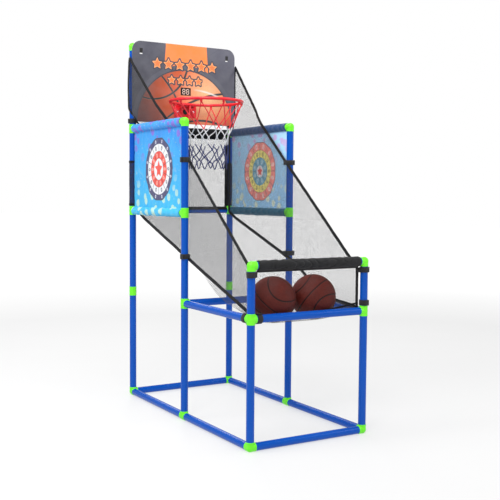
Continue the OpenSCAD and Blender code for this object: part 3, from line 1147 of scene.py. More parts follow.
def circle_through(a: Point, b: Point, c: Point) -> tuple[tuple[float, float], float]:
    """The circle through three points.

    Args:
        a, b, c: the points.

    Returns:
        The circle's middle and radius.
    """
    m = np.array([[b[0] - a[0], b[1] - a[1]], [c[0] - a[0], c[1] - a[1]]])
    k = np.array([b[0]**2 - a[0]**2 + b[1]**2 - a[1]**2, c[0]**2 - a[0]**2 + c[1]**2 - a[1]**2]) / 2
    x, z = np.linalg.solve(m, k)
    return (float(x), float(z)), float(math.hypot(a[0] - x, a[1] - z))


@dataclass(frozen=True)
class TargetRing:
    """One ring of a printed target.

    Attributes:
        outer: its outer radius.
        colour: its ground colour.
        mark: the colour of its marks.
        sectors: how many marks and dividing lines.
    """

    outer: float
    colour: Colour
    mark: Colour
    sectors: int


@dataclass(frozen=True)
class PanelPrint:
    """A target panel's printed cloth: a ground that changes with height, blobs and a round target.

    Attributes:
        name: the material's name.
        high, low: the ground's colours at the top and bottom.
        blob_high, blob_low: the blobs' colours at the top and bottom.
        line: the colour of the dividing lines.
        rings: the target's rings, the outermost first.
        middle: the target's middle, (y, z).
        span: the heights of the panel's lower and upper edge.
        sleeve: the colours of the lower and the upper sleeve, or None.
        glow: how strongly the cloth glows in its own colour, painted light with no lamp behind it.
    """

    name: str
    high: Colour
    low: Colour
    blob_high: Colour
    blob_low: Colour
    line: Colour
    rings: tuple[TargetRing, ...]
    middle: tuple[float, float]
    span: tuple[float, float]
    sleeve: Optional[tuple[Colour, Colour]] = None
    glow: float = 0.0

    def ground(self, c: Canvas, rise: Field) -> bpy.types.NodeSocket:
        """The ground, which changes with height, with its blobs and dashes.

        Args:
            c: the canvas.
            rise: 0 at the panel's lower edge, 1 at the upper one.

        Returns:
            The ground's colour.
        """
        ground = c.mix(rise, self.low, self.high)
        ground = c.mix(c.noise(16, 3).scaled(0.7, -0.2), ground, tuple(min(1, v * 1.35) for v in self.low))
        warp = c.noise(26, 2)
        blobs = (c.cells(0.040) + warp * 0.30).below(0.50, 0.03)
        spread = rise.of("SUBTRACT", 0.5).unsigned().above(0.20, 0.25)
        blob_colour = c.mix(rise.above(0.5, 0.3), self.blob_low, self.blob_high)
        colour = c.mix(blobs * spread.scaled(0.70, 0.20), ground, blob_colour)
        dashes = (c.cells(0.016) + warp * 0.2).below(0.24, 0.03)
        return c.mix(dashes * 0.6, colour, self.blob_low)

    def with_target(self, c: Canvas, colour: bpy.types.NodeSocket) -> bpy.types.NodeSocket:
        """Prints the round target: rings with dividing lines and marks, and a star in the middle.

        Args:
            c: the canvas.
            colour: the ground's colour.

        Returns:
            The colour with the target.
        """
        u = c.y - self.middle[0]
        v = c.z - self.middle[1]
        r = distance(u, v)
        turn = u.of("ARCTAN2", v) / (2 * pi)
        for number, ring in enumerate(self.rings):
            inner = self.rings[number + 1].outer if number + 1 < len(self.rings) else 0.0
            reach: Value = ring.outer
            if number == 0:
                scallop = (turn * ring.sectors + 40.0).of("PINGPONG", 0.5)
                reach = scallop.scaled(0.007, ring.outer - 0.003)
                colour = c.mix(r.below(reach + 0.0022, 0.0006), colour, self.line)
            colour = c.mix(r.below(reach, 0.0006), colour, ring.colour)
            if number + 1 < len(self.rings):
                cell = (turn * ring.sectors + 40.0).of("FRACT") - 0.5
                spoke = (cell.unsigned() * -1.0 + 0.5) * r * (2 * pi / ring.sectors)
                here = r.between(inner, ring.outer, 0.0008)
                colour = c.mix(spoke.below(0.0009, 0.0005) * here, colour, self.line)
                across = cell * r * (2 * pi / ring.sectors)
                mid = (inner + ring.outer) / 2
                deep = (ring.outer - inner) * 0.30
                tall = (r - mid) / deep
                wide = across / (deep * 0.68)
                oval = distance(tall, wide)
                colour = c.mix(oval.between(0.45, 1.0, 0.25) * here, colour, ring.mark)
                colour = c.mix(r.between(inner - 0.0008, inner + 0.0008, 0.0006), colour, self.line)
        last = self.rings[-1]
        return c.mix(star(u, v, last.outer * 0.86).below(0.0, 0.0008), colour, last.mark)

    def make(self) -> Material:
        """Makes the material."""
        c = Canvas(self.name)
        low, high = self.span
        rise = (c.z - low) / (high - low)
        colour = self.with_target(c, self.ground(c, rise))
        if self.sleeve:
            colour = c.mix(rise.above(0.915, 0.01), colour, self.sleeve[1])
            colour = c.mix(rise.below(0.083, 0.01), colour, self.sleeve[0])
        weave = c.weave(c.y, c.z, 0.0011)
        colour = c.mix(weave * 0.10, colour, srgb(20, 30, 60))
        creases = c.noise(24, 3, (1, 1.6, 0.5))
        relief = weave * 0.25 + creases
        # Painted light: the cloth glows in its own colour by the glow share, though nothing lights it from
        # behind.
        c.glow(colour, self.glow)
        return c.dress(colour, weave.scaled(-0.1, 0.62), relief, 0.0016,
                       sheen_weight=0.15, specular_ior_level=0.3)


@dataclass(frozen=True)
class DigitWindow:
    """Dark display window with two pale seven-segment digits.

    Attributes:
        middle: the window's middle, (x, z).
        pitch: the distance between the digits.
        half_w, half_h: half the width and height of a digit.
        stroke: the width of a segment.
    """

    middle: tuple[float, float]
    pitch: float = 0.0165
    half_w: float = 0.0050
    half_h: float = 0.0092
    stroke: float = 0.0021

    def make(self) -> Material:
        """Makes the material."""
        c = Canvas("dark_display_window")
        u = (c.x - self.middle[0]).unsigned() - self.pitch / 2
        v = c.z - self.middle[1]
        au, av = u.unsigned(), v.unsigned()
        half = self.stroke / 2
        upright = (au - self.half_w).unsigned().below(half, 0.0002)
        upright = upright * av.below(self.half_h - 0.0008, 0.0002)
        upright = upright * av.above(0.0012, 0.0002)
        level = (av - self.half_h).unsigned().of("MINIMUM", av)
        level = level.below(half, 0.0002) * au.below(self.half_w - 0.0012, 0.0002)
        lit = upright.of("MAXIMUM", level)
        smear = c.noise(130, 4).scaled(0.3, 0.06)
        colour = c.mix(lit, srgb(22, 17, 17), srgb(235, 205, 190))
        self_lit = c.mix(lit, (0.0, 0.0, 0.0), srgb(255, 214, 196))
        c.glow(self_lit, 0.25)
        return c.dress(colour, smear, None, coat_weight=0.4)


# ---- placing pieces


def place(
    piece: Object,
    material: Material,
    nodes: Sequence[str] = (),
    body: str = "frame",
) -> Object:
    """Dresses a piece and says what it rides on and stands for.

    Args:
        piece: the piece.
        material: its material.
        nodes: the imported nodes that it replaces.
        body: the body that it moves with.

    Returns:
        The piece.
    """
    piece.data.materials.clear()
    piece.data.materials.append(material)
    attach(piece, body)
    if nodes:
        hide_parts(*nodes)
    LOG.info("%s: %d faces, on %s", piece.name, len(piece.data.polygons), body)
    return piece


def dress_nodes(material: Material, slot: str, *nodes: str) -> None:
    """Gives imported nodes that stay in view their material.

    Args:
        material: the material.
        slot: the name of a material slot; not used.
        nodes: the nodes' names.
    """
    for node in nodes:
        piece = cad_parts[node]
        piece.data.materials.clear()
        piece.data.materials.append(material)
        LOG.info("%s: packed node in %s", node, material.name)


# ---- tube frame


@dataclass
class TubeFrame:
    """The blue tubes and the moulded green fittings that join them.

    Attributes:
        lines: where the tubes run.
        arm_r: outer radius of a fitting's arm.
        lip_r: radius of the bead at the arm's mouth.
        ball_r: radius of the fitting's middle.
        reach: length of an arm from the middle.
    """

    lines: Layout
    arm_r: float = 0.01325
    lip_r: float = 0.01375
    ball_r: float = 0.01385
    reach: float = 0.017

    TUBES = ("front_left_post", "front_right_post", "middle_left_post", "middle_right_post",
             "back_left_post", "back_right_post", "base_left_rail", "base_right_rail",
             "base_cross_rails", "tray_side_rails", "tray_cross_rails", "front_bar",
             "lower_side_arms", "upper_side_arms", "back_crossbars", "top_bar")

    def joints(self) -> dict[str, list[tuple[Point, str]]]:
        """Every fitting: its middle and its arms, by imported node.

        Returns:
            For each node, the fittings' middles with their arms as letters. U is up, D down,
            B back, F front and I inwards.
        """
        at = self.lines
        pairs = {
            "base_tee_fittings": [(at.middle, at.base, "UFB")],
            "base_corner_fittings": [(at.front, at.base, "UIB"), (at.back, at.base, "UIF")],
            "tray_front_fittings": [(at.front, at.tray, "UDIB")],
            "tray_middle_fittings": [(at.middle, at.tray, "UDIF")],
            "post_couplings": [(at.back, at.tray, "UD")],
            "front_bar_elbows": [(at.front, at.bar, "DI")],
            "middle_top_elbows": [(at.middle, at.high, "DB")],
            "middle_arm_tees": [(at.middle, at.low, "UDB")],
            "lower_back_tees": [(at.back, at.low, "UDFI")],
            "upper_back_tees": [(at.back, at.high, "UDFI")],
            "top_bar_elbows": [(at.back, at.top, "DI")],
        }
        return {
            node: [((side * at.post_x, y, z), arms) for y, z, arms in rows for side in (-1, 1)]
            for node, rows in pairs.items()
        }

    def fitting(self, shape: Shape, middle: Point, arms: str) -> None:
        """Adds the closed forms that one fitting is fused from.

        Args:
            shape: the mesh that they go to.
            middle: the fitting's middle.
            arms: its arms, as in joints.
        """
        ways = {"U": (0, 0, 1), "D": (0, 0, -1), "B": (0, 1, 0), "F": (0, -1, 0),
                "I": (-math.copysign(1, middle[0]), 0, 0)}
        bm = bmesh.new()
        bmesh.ops.create_icosphere(bm, subdivisions=4, radius=self.ball_r)
        shape.take(bm, middle)
        steps = [(0.0, self.arm_r), (self.reach - 0.0036, self.arm_r), (self.reach - 0.0028, self.lip_r),
                 (self.reach - 0.0006, self.lip_r), (self.reach, self.lip_r - 0.0005)]
        for arm in arms:
            way = np.array(ways[arm], float)
            side = least_axis(way)
            other = np.cross(way, side)
            rows = [
                np.asarray(middle) + way * along + np.outer(circle(r, 40)[:, 0], side)
                + np.outer(circle(r, 40)[:, 1], other)
                for along, r in steps
            ]
            shape.grid(rows, ring=True, caps=True)

    def build(self) -> None:
        """Makes the fittings and dresses the tubes."""
        dress_nodes(TubePaint().make(), "blue_tube", *self.TUBES)
        lime = Moulded("green_fitting_plastic", srgb(116, 246, 34), srgb(100, 228, 26),
                       0.36, 0.0008, 0.05).make()
        for node, rows in self.joints().items():
            shape = Shape()
            for middle, arms in rows:
                self.fitting(shape, middle, arms)
            piece = shape.object(node.replace("fittings", "joints") + "_moulded")
            modifier(piece, "REMESH", mode="VOXEL", voxel_size=FUSE_GRID, use_smooth_shade=True)
            modifier(piece, "SMOOTH", factor=0.5, iterations=4)
            settle(piece)
            if rows[0][0][2] < 0.1:
                flatten_foot(piece)
            place(piece, lime, (node,))


def flatten_foot(piece: Object) -> None:
    """Presses the lowest part of a piece flat on the floor."""
    for vertex in piece.data.vertices:
        vertex.co.z = max(vertex.co.z, 0.0)


# ---- soft covers and nets


@dataclass
class BarPad:
    """Foam pad in black cloth round the front bar, with slanting pulls and gathered ends.

    Attributes:
        lines: where the tubes run.
        length: the pad's length.
        radius: its outer radius.
        pulls: how deep the pulls in the cloth are.
    """

    lines: Layout
    length: float = 0.385
    radius: float = 0.0163
    pulls: float = 0.0011

    def surface(self, along: float, turn: float) -> float:
        """The radius of the pad at a place.

        Args:
            along: the place along the bar, -1 to 1.
            turn: the angle round it.

        Returns:
            The radius.
        """
        x = along * self.length / 2
        twist = turn + x * 7.0
        fold = ripple((x * 0.9, cos(twist) * 0.02, sin(twist) * 0.02), 55, 3.0)
        crease = abs(ripple((x, cos(twist) * 0.016, sin(twist) * 0.016), 32, 8.0))
        slant = sin(9 * (twist * 0.9 + 14 * x)) * 0.16
        end = max(0.0, (abs(along) - 0.955) / 0.045)
        gather = sin(14 * turn + along) * 0.0006 * min(1.0, end * 3)
        r = self.radius + self.pulls * (0.8 * fold + slant - 1.5 * max(0.0, 0.16 - crease) / 0.16)
        return min(r, self.radius + 0.0007) * (1 - 0.07 * end**1.5) - 0.0022 * max(0.0, end - 0.6) + gather

    def build(self) -> None:
        """Makes the pad and its sewn flap."""
        n, m = 300, 96
        shape = Shape()
        rows = []
        inner = self.lines.tube_r + 0.0004
        for i in range(n + 1):
            along = 2 * i / n - 1
            turns = full_turn(m)
            radii = [self.surface(along, t) for t in turns]
            x = along * self.length / 2
            rows.append([(x, r * cos(t), r * sin(t)) for r, t in zip(radii, turns)])
        back = [[(x, y * inner / math.hypot(y, z), z * inner / math.hypot(y, z)) for x, y, z in row]
                for row in (rows[-1], rows[0])]
        rows = np.array(rows + back) + np.array([0, self.lines.front, self.lines.bar])
        shape.grid(rows, ring=True, loop=True)
        pad = shape.object("front_bar_pad")
        cloth = Cloth("black_pad_cloth", srgb(20, 20, 22), srgb(32, 32, 35), Across.FACE, 0.0013, 0.10).make()
        place(pad, cloth, ("bar_pad",))

        rows = []
        for i in range(221):
            x = (i / 220 - 0.5) * (self.length - 0.004)
            wave = 0.0009 * ripple((x, 0, 0), 60, 5.0)
            y, z = self.lines.front + 0.004, self.lines.bar - 0.0150
            rows.append([(x, y + wave * k * 0.5 + 0.0015 * k, z - 0.0022 * k) for k in range(4)])
        strip = skin("front_bar_pad_hem", rows)
        modifier(strip, "SOLIDIFY", thickness=0.0012, offset=0)
        place(settle(strip), cloth)


@dataclass
class NetEnclosure:
    """The nets that bring the balls back, with their black binding, straps and sleeves.

    Attributes:
        lines: where the tubes run.
        hem_w: the width of the binding.
        hem_t: its thickness.
        fold_above: how far above the upper arms the side nets start to lean outwards.
        fold_tall: the height over which they do.
        mesh: the mesh finishes, one for each pair of axes.
        sleeve_mesh, webbing: the finishes of the post sleeves and of the binding.
    """

    lines: Layout
    hem_w: float = 0.0125
    hem_t: float = 0.0018
    fold_above: float = 0.017
    fold_tall: float = 0.055
    mesh: dict[Across, Material] = field(default_factory=dict)
    sleeve_mesh: Optional[Material] = None
    webbing: Optional[Material] = None

    # Flat cut of each net, width by length
    SIDE_CUT = (0.845, 0.875)
    BACK_CUT = (0.405, 0.285)
    RETURN_CUT = (0.400, 1.000)

    def side_profile(self, side: int) -> tuple[np.ndarray, np.ndarray]:
        """The upper and lower edge of a side net, from the back to the front.

        Args:
            side: -1 for the left, 1 for the right.

        Returns:
            Two rows of points.
        """
        low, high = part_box("left_side_net" if side < 0 else "right_side_net")
        at = self.lines
        x = side * (min(abs(low.x), abs(high.x)) + 0.0006)
        back, front = high.y + 0.0105, low.y + 0.002
        share = np.linspace(0, 1, 97)
        y = back + (front - back) * share
        upper_points = np.array([
            (back, high.z - 0.004), (0.5 * back + 0.5 * at.middle, at.high + 0.0545),
            (at.middle, at.high - 0.1295),
            (0.5 * (at.middle + front), 0.5 * (at.high - 0.1295 + at.bar) - 0.012), (front, at.bar - 0.0235),
        ])
        lower_points = np.array([
            (back, at.low - 0.0065), (0.5 * back + 0.5 * front, at.low - 0.1555), (front, at.tray + 0.0075),
        ])
        upper = np.interp(-y, -upper_points[:, 0], upper_points[:, 1])
        lower = np.interp(-y, -lower_points[:, 0], lower_points[:, 1])
        if side > 0:
            start = at.middle - 0.05
            lower -= 0.034 * np.sin(np.pi * np.clip((start - y) / (start - front), 0, 1)) ** 1.5
        return (np.stack([np.full(97, x), y, upper], 1), np.stack([np.full(97, x), y, lower], 1))

    def flare(self, side: int, point: Point) -> float:
        """How far a side net leans outwards at a place, to pass the backboard's edge.

        Args:
            side: -1 for the left, 1 for the right.
            point: the place.

        Returns:
            The shift along X.
        """
        low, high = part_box("left_side_net" if side < 0 else "right_side_net")
        out = (high.x - low.x) + 0.0035
        span = (point[1] - 0.11) / (high.y - 0.11)
        rise = (point[2] - self.lines.high - self.fold_above) / self.fold_tall
        return side * out * kept(span) * kept(rise)

    def tuck(self, point: Point) -> float:
        """How far forward a side net's back edge is kept, below the backboard's rounded corner.

        Args:
            point: the place.

        Returns:
            The shift along Y.
        """
        rise = kept((point[2] - self.lines.high - self.fold_above) / self.fold_tall)
        near = kept((point[1] - 0.36) / 0.06)
        return -0.0130 * near * (1 - rise)

    def side_net(self, side: int) -> None:
        """Makes one side net with its binding.

        Args:
            side: -1 for the left, 1 for the right.
        """
        name = "left" if side < 0 else "right"
        upper, lower = self.side_profile(side)
        levels = 64
        rows = []
        for share in np.linspace(0, 1, levels + 1):
            row = lower * (1 - share) + upper * share
            for j, point in enumerate(row):
                slack = sin(pi * share) ** 0.7 * sin(pi * j / 96) ** 0.6
                push = 0.0055 * ripple(point, 5.0, 2.0 * side) + 0.0012 * ripple(point, 24, 4.0)
                point[0] += self.flare(side, point)
                point[1] += self.tuck(point)
                point[0] -= side * (abs(push) * slack + 0.0012 * slack)
            rows.append(row)
        net = skin(f"{name}_side_mesh", rows)
        place(net, self.mesh[Across.SIDE], (f"{name}_side_net",))

        across = (side, 0.0, 0.0)
        binding = Shape()
        for edge, number in ((upper, 0), (lower, 1)):
            path = edge.copy()
            for point in path:
                point[1] += self.tuck(point)
                point[0] += self.flare(side, point) - side * 0.0006 * ripple(point, 30, number)
                point[2] += 0.0008 * ripple(point, 14, number + 3)
            self.ribbon(binding, path, across, number)
        back_path = self.back_edge(side, upper[0], lower[0])
        self.ribbon(binding, back_path, across, 2)
        front_path = np.linspace(upper[-1], lower[-1], 24)
        self.ribbon(binding, front_path, across, 3)
        hem = binding.object(f"{name}_side_binding")
        place(hem, self.webbing)

    def back_edge(self, side: int, top: np.ndarray, bottom: np.ndarray) -> np.ndarray:
        """The upright binding at the back of a side net, slack above the strap on the left.

        Args:
            side: -1 for the left, 1 for the right.
            top: the edge's upper end.
            bottom: its lower end.

        Returns:
            The path.
        """
        share = np.linspace(0, 1, 72)[:, None]
        path = top * (1 - share) + bottom * share
        at = self.lines
        for point in path:
            loose = kept((point[2] - at.high - 0.030) / (top[2] - at.high - 0.030))
            bulge = 0.0050 if side < 0 else -0.0010
            point[0] += self.flare(side, point) + side * bulge * sin(pi * loose) ** 0.7
            point[1] += self.tuck(point) + 0.0008 * ripple(point, 18, 6.0)
        return path

    def ribbon(self, shape: Shape, path: np.ndarray, across: Point, seed: float, share: float = 1.0) -> None:
        """Adds a binding ribbon, folded over the net's edge, with a rolled rim on each side.

        Args:
            shape: the mesh that it goes to.
            path: its middle line.
            across: the direction that its face looks in.
            seed: moves its small waves.
            share: its width, as a share of the hem's.
        """
        face = np.asarray(across, float)
        ahead = np.gradient(path, axis=0)
        ahead /= np.linalg.norm(ahead, axis=1)[:, None]
        wide = np.cross(ahead, face)
        rows = []
        half, thick = share * self.hem_w / 2, self.hem_t / 2
        for i, point in enumerate(path):
            ruffle = 0.00045 * ripple(point, 90, seed + 9)
            ring = []
            for u, t in ((-1, 0.0), (-0.93, 1.25), (-0.75, 1.0), (-0.3, 0.8), (0.3, 0.8), (0.75, 1.0),
                         (0.93, 1.25), (1, 0.0), (0.93, -1.25), (0.75, -1.0), (0.3, -0.8), (-0.3, -0.8),
                         (-0.75, -1.0), (-0.93, -1.25)):
                ring.append(point + wide[i] * (u * half + ruffle) + face * (t * thick + ruffle * 0.6))
            rows.append(ring)
        shape.grid(rows, ring=True, caps=True)

    def flat_net(self, node: str, name: str) -> None:
        """Makes a net that hangs across the machine, bound at its top and sides.

        Args:
            node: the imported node.
            name: the piece's name.
        """
        low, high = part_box(node)
        y = (low.y + high.y) / 2
        rows = []
        for z in np.linspace(low.z, high.z, 41):
            share = (z - low.z) / (high.z - low.z)
            slack = sin(pi * share)
            rows.append([(x, y + 0.003 * slack * ripple((x, y, z), 11, 1.0), z)
                         for x in np.linspace(low.x, high.x, 61)])
        net = skin(name, rows)
        place(net, self.mesh[Across.FACE], (node,))
        binding = Shape()
        z = high.z - self.hem_w / 2
        xs = np.linspace(low.x, high.x, 61)
        path = np.stack([xs, np.full(61, y), [z + 0.0006 * ripple((x, 0, z), 16) for x in xs]], 1)
        self.ribbon(binding, path, (0, -1, 0), -1)
        for x in (low.x + 0.004, high.x - 0.004):
            path = np.stack([np.full(31, x), np.full(31, y), np.linspace(low.z, high.z, 31)], 1)
            self.ribbon(binding, path, (0, -1, 0), x)
        hem = binding.object(name + "_binding")
        place(hem, self.webbing)

    def return_profile(self) -> np.ndarray:
        """The return net's line from the back to the front, at the machine's middle plane.

        Returns:
            An array of (y, z, pocket) rows, where pocket is 1 under the balls.
        """
        low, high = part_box("return_net")
        ball_low, ball_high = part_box("left_ball")
        ball = (ball_low + ball_high) / 2
        r = (ball_high.z - ball_low.z) / 2 + 0.0021
        start = np.array([high.y - 0.001, high.z - 0.0006])
        end = np.array([low.y + 0.001, self.lines.tray - 0.0066])

        def tangent(point: np.ndarray, sign: int) -> float:
            """The angle at which the net leaves the pocket towards a point."""
            du, dv = point[0] - ball.y, point[1] - ball.z
            return math.atan2(dv, du) + sign * math.acos(r / math.hypot(du, dv))

        first, last = tangent(start, -1), tangent(end, 1)
        while last > first:
            last -= 2 * pi
        arc = [(ball.y + r * cos(a), ball.z + r * sin(a), 1.0)
               for a in np.linspace(first, last, 30)]
        on, off = np.array(arc[0][:2]), np.array(arc[-1][:2])
        slope = [(*(start * (1 - s) + on * s), max(0.0, s * 3 - 2)) for s in np.linspace(0, 1, 70)]
        lip = [(*(off * (1 - s) + end * s), 1 - s) for s in np.linspace(0, 1, 5)[1:]]
        return np.array(slope + arc[1:] + lip)

    def return_net(self) -> None:
        """Makes the sloping return net: sewn to the side nets' lower hems, drawn down under the balls."""
        profile = self.return_profile()
        hem_line = self.side_profile(1)[1]
        edge = hem_line[0, 0]
        hem_z = np.interp(-profile[:, 0], -hem_line[:, 1], hem_line[:, 2])
        front_drop = profile[-1, 1]
        rows = []
        for x in np.linspace(-edge, edge, 81):
            share_x = abs(x) / edge
            deep = (1 - share_x ** 5) ** 1.2
            lift = self.front_edge(x) - front_drop
            row = []
            for i, (y, z, pocket) in enumerate(profile):
                share = i / (len(profile) - 1)
                free = sin(pi * min(1.0, share * 1.35)) if share < 0.74 else 0.0
                at_front = kept((share - 0.93) / 0.07)
                sag = 0.006 * free * deep * (1 - pocket)
                wave = 0.0022 * free * ripple((x, y, z), 14, 7.0)
                level = hem_z[i] * (1 - deep) + z * deep
                row.append((x, y, level - sag + wave + lift * deep * at_front ** 2))
            rows.append(row)
        net = skin("return_slope_mesh", rows)
        place(net, self.mesh[Across.LEVEL], ("return_net",))
        xs = np.linspace(-edge, edge, 61)
        path = np.stack([xs, np.full(61, profile[-1, 0] + 0.0005), [self.front_edge(x) for x in xs]], 1)
        binding = Shape()
        self.ribbon(binding, path, (0, -1, 0), 4.0, 0.5)
        hem = binding.object("tray_front_binding")
        place(hem, self.webbing)

    def front_edge(self, x: float) -> float:
        """The height of the return net's front edge, which climbs to its strap on the right."""
        climb = max(0.0, (x - 0.02) / 0.18)
        return self.lines.tray + 0.0045 + 0.020 * min(1.0, climb) ** 1.3

    def band(self, shape: Shape, middle: Point, way: Point, tail: float, width: float = 0.0175) -> None:
        """Adds one hook-and-loop strap, wound once round a tube and pressed on itself.

        Args:
            shape: the mesh that it goes to.
            middle: the middle of the strap, on the tube's axis.
            way: the tube's direction.
            tail: the angle where its loose end stands off.
            width: the strap's width.
        """
        way_v = np.asarray(way, float)
        side = np.array([0.0, 1.0, 0.0]) if abs(way_v[1]) < 0.5 else np.array([1.0, 0.0, 0.0])
        other = np.cross(way_v, side)
        inner = self.lines.tube_r + 0.0009
        path = []
        for i in range(90):
            a = tail + 2 * pi * 1.16 * i / 89
            wound = i / 89
            lift = 0.0019 * kept((wound - 0.80) / 0.06)
            bulge = 0.0005 * sin(3 * a)
            loose = 0.0030 * max(0.0, (wound - 0.95) / 0.05) ** 2
            r = inner + 0.0008 + lift + bulge + loose
            path.append(np.asarray(middle) + side * r * cos(a) + other * r * sin(a))
        shape.sweep(path, tape(width, 0.0015), side=way_v)

    def tab(self, shape: Shape, middle: Point, side: int) -> None:
        """Adds the tab that joins a strap to the net's hem.

        Args:
            shape: the mesh that it goes to.
            middle: the middle of the strap, on the tube's axis.
            side: -1 for the left, 1 for the right.
        """
        r = self.lines.tube_r + 0.0022
        path = [(middle[0] - side * (r * 0.55), middle[1] - r * 0.86, middle[2]),
                (middle[0] - side * (r + 0.0010), middle[1] - r * 0.45, middle[2]),
                (middle[0] - side * (r + 0.0030), middle[1] + 0.004, middle[2] - 0.0006),
                (middle[0] - side * (r + 0.0036), middle[1] + 0.012, middle[2] - 0.0010)]
        shape.sweep(spline(path, 8), tape(0.0165, 0.0034), side=(0, 0, 1))

    def straps(self) -> None:
        """Makes the straps that tie the net to posts and rails."""
        at = self.lines
        shape = Shape()
        heights = ((at.back, at.high + 0.0295), (at.middle, at.high - 0.129), (at.middle, at.low - 0.148),
                   (at.front, at.bar - 0.027))
        up = (0, 0, 1)
        for side in (-1, 1):
            for number, (y, z) in enumerate(heights):
                self.band(shape, (side * at.post_x, y, z), up, (2.4 if side > 0 else 0.6) + 0.4 * number)
        self.band(shape, (at.post_x, at.front, at.tray + 0.027), up, 2.6)
        self.band(shape, (-at.post_x + 0.0265, at.front, at.tray), (1, 0, 0), 1.1)
        self.band(shape, (-at.post_x, at.front + 0.0265, at.tray), (0, 1, 0), 0.4)
        for side in (-1, 1):
            for y, z in heights[1:]:
                self.tab(shape, (side * at.post_x, y, z), side)
        piece = shape.object("net_strap_bands")
        place(piece, HookLoop().make(), ("net_straps",))

    def post_sleeves(self) -> None:
        """Makes the mesh sleeves on the back posts, with their hems and seams."""
        low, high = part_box("post_sleeves")
        at = self.lines
        shape, hems = Shape(), Shape()
        for side in (-1, 1):
            rows = []
            for z in np.linspace(low.z + 0.002, high.z - 0.002, 40):
                turns = full_turn(48)
                waves = [ripple((cos(t) * 0.02, sin(t) * 0.02, z), 50, side) for t in turns]
                radii = [at.tube_r + 0.0012 + 0.0004 * wave for wave in waves]
                rows.append([(side * at.post_x + r * cos(t), at.back + r * sin(t), z)
                             for r, t in zip(radii, turns)])
            shape.grid(rows, ring=True)
            for z, tall in ((low.z + 0.0045, 0.008), (high.z - 0.0045, 0.008)):
                ring = [(side * at.post_x + (at.tube_r + 0.0016) * cos(t),
                         at.back + (at.tube_r + 0.0016) * sin(t), z)
                        for t in full_turn(64)]
                hems.sweep(ring, tape(tall, 0.0012), side=(0, 0, 1), loop=True)
            seam_x = side * (at.post_x - at.tube_r - 0.0016)
            seam = [(seam_x, at.back - 0.002 + 0.001 * ripple((0, 0, z), 20), z)
                    for z in np.linspace(low.z, high.z, 40)]
            self.ribbon(hems, np.array(seam), (-side, 0, 0), side)
        tube = shape.object("post_sleeve_mesh")
        place(tube, self.sleeve_mesh, ("post_sleeves",))
        edge = hems.object("post_sleeve_binding")
        place(edge, self.webbing)

    def crossbar_sleeve(self) -> None:
        """Makes the wrinkled cloth sleeve on the upper crossbar."""
        low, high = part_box("crossbar_sleeve")
        at = self.lines
        rows = []
        for x in np.linspace(low.x, high.x, 240):
            row = []
            for t in full_turn(64):
                c, s = cos(t), sin(t)
                fold = ripple((x, c * 0.018, s * 0.018), 48, 12.0)
                fold += 0.6 * ripple((x * 2.2, c * 0.012, s * 0.012), 70, 2)
                pinch = max(0.0, 0.14 - abs(ripple((x * 1.4, c * 0.014, s * 0.014), 30, 5.0))) / 0.14
                hang = 0.0016 * max(0.0, -s)
                r = max(at.tube_r + 0.0016 + 0.0007 * fold - 0.0008 * pinch + hang, at.tube_r + 0.0007)
                row.append((x, at.back + r * c, at.high + r * s))
            rows.append(row)
        piece = skin("crossbar_sleeve_cloth", rows, ring=True)
        modifier(piece, "SOLIDIFY", thickness=0.0006, offset=-1)
        settle(piece)
        cloth = Cloth("black_sleeve_cloth", srgb(10, 11, 13), srgb(22, 23, 26),
                      Across.FACE, 0.0012, 0.05).make()
        place(piece, cloth, ("crossbar_sleeve",))

    def lower_hem(self) -> None:
        """Makes the hem of the back net that is folded over the lower crossbar."""
        at = self.lines
        rows = []
        for x in np.linspace(-at.post_x + 0.019, at.post_x - 0.019, 160):
            row = []
            for t in np.linspace(0.30, pi - 0.15, 40):
                r = at.tube_r + 0.0012 + 0.0004 * ripple((x, cos(t) * 0.02, t * 0.01), 60, 3)
                row.append((x, at.back + r * cos(t), at.low + r * sin(t)))
            rows.append(row)
        band = skin("lower_crossbar_hem", rows)
        modifier(band, "SOLIDIFY", thickness=0.0008, offset=0)
        place(settle(band), self.webbing)

    def build(self) -> None:
        """Makes every net, its binding, the straps and the sleeves."""
        self.mesh = {
            Across.SIDE: MeshCloth("side_net_mesh", Across.SIDE).make(),
            Across.FACE: MeshCloth("face_net_mesh", Across.FACE).make(),
            Across.LEVEL: MeshCloth("slope_net_mesh", Across.LEVEL).make(),
        }
        self.sleeve_mesh = MeshCloth("sleeve_net_mesh", Across.FACE, srgb(20, 22, 30),
                                     0.0034, 0.0040, 0.0007).make()
        self.webbing = Cloth("black_binding_tape", srgb(12, 12, 14), srgb(24, 24, 27),
                             Across.SIDE, 0.0011, 0.05).make()
        self.straps()
        for side in (-1, 1):
            self.side_net(side)
        self.flat_net("back_net", "back_mesh")
        self.return_net()
        self.post_sleeves()
        self.crossbar_sleeve()
        self.lower_hem()


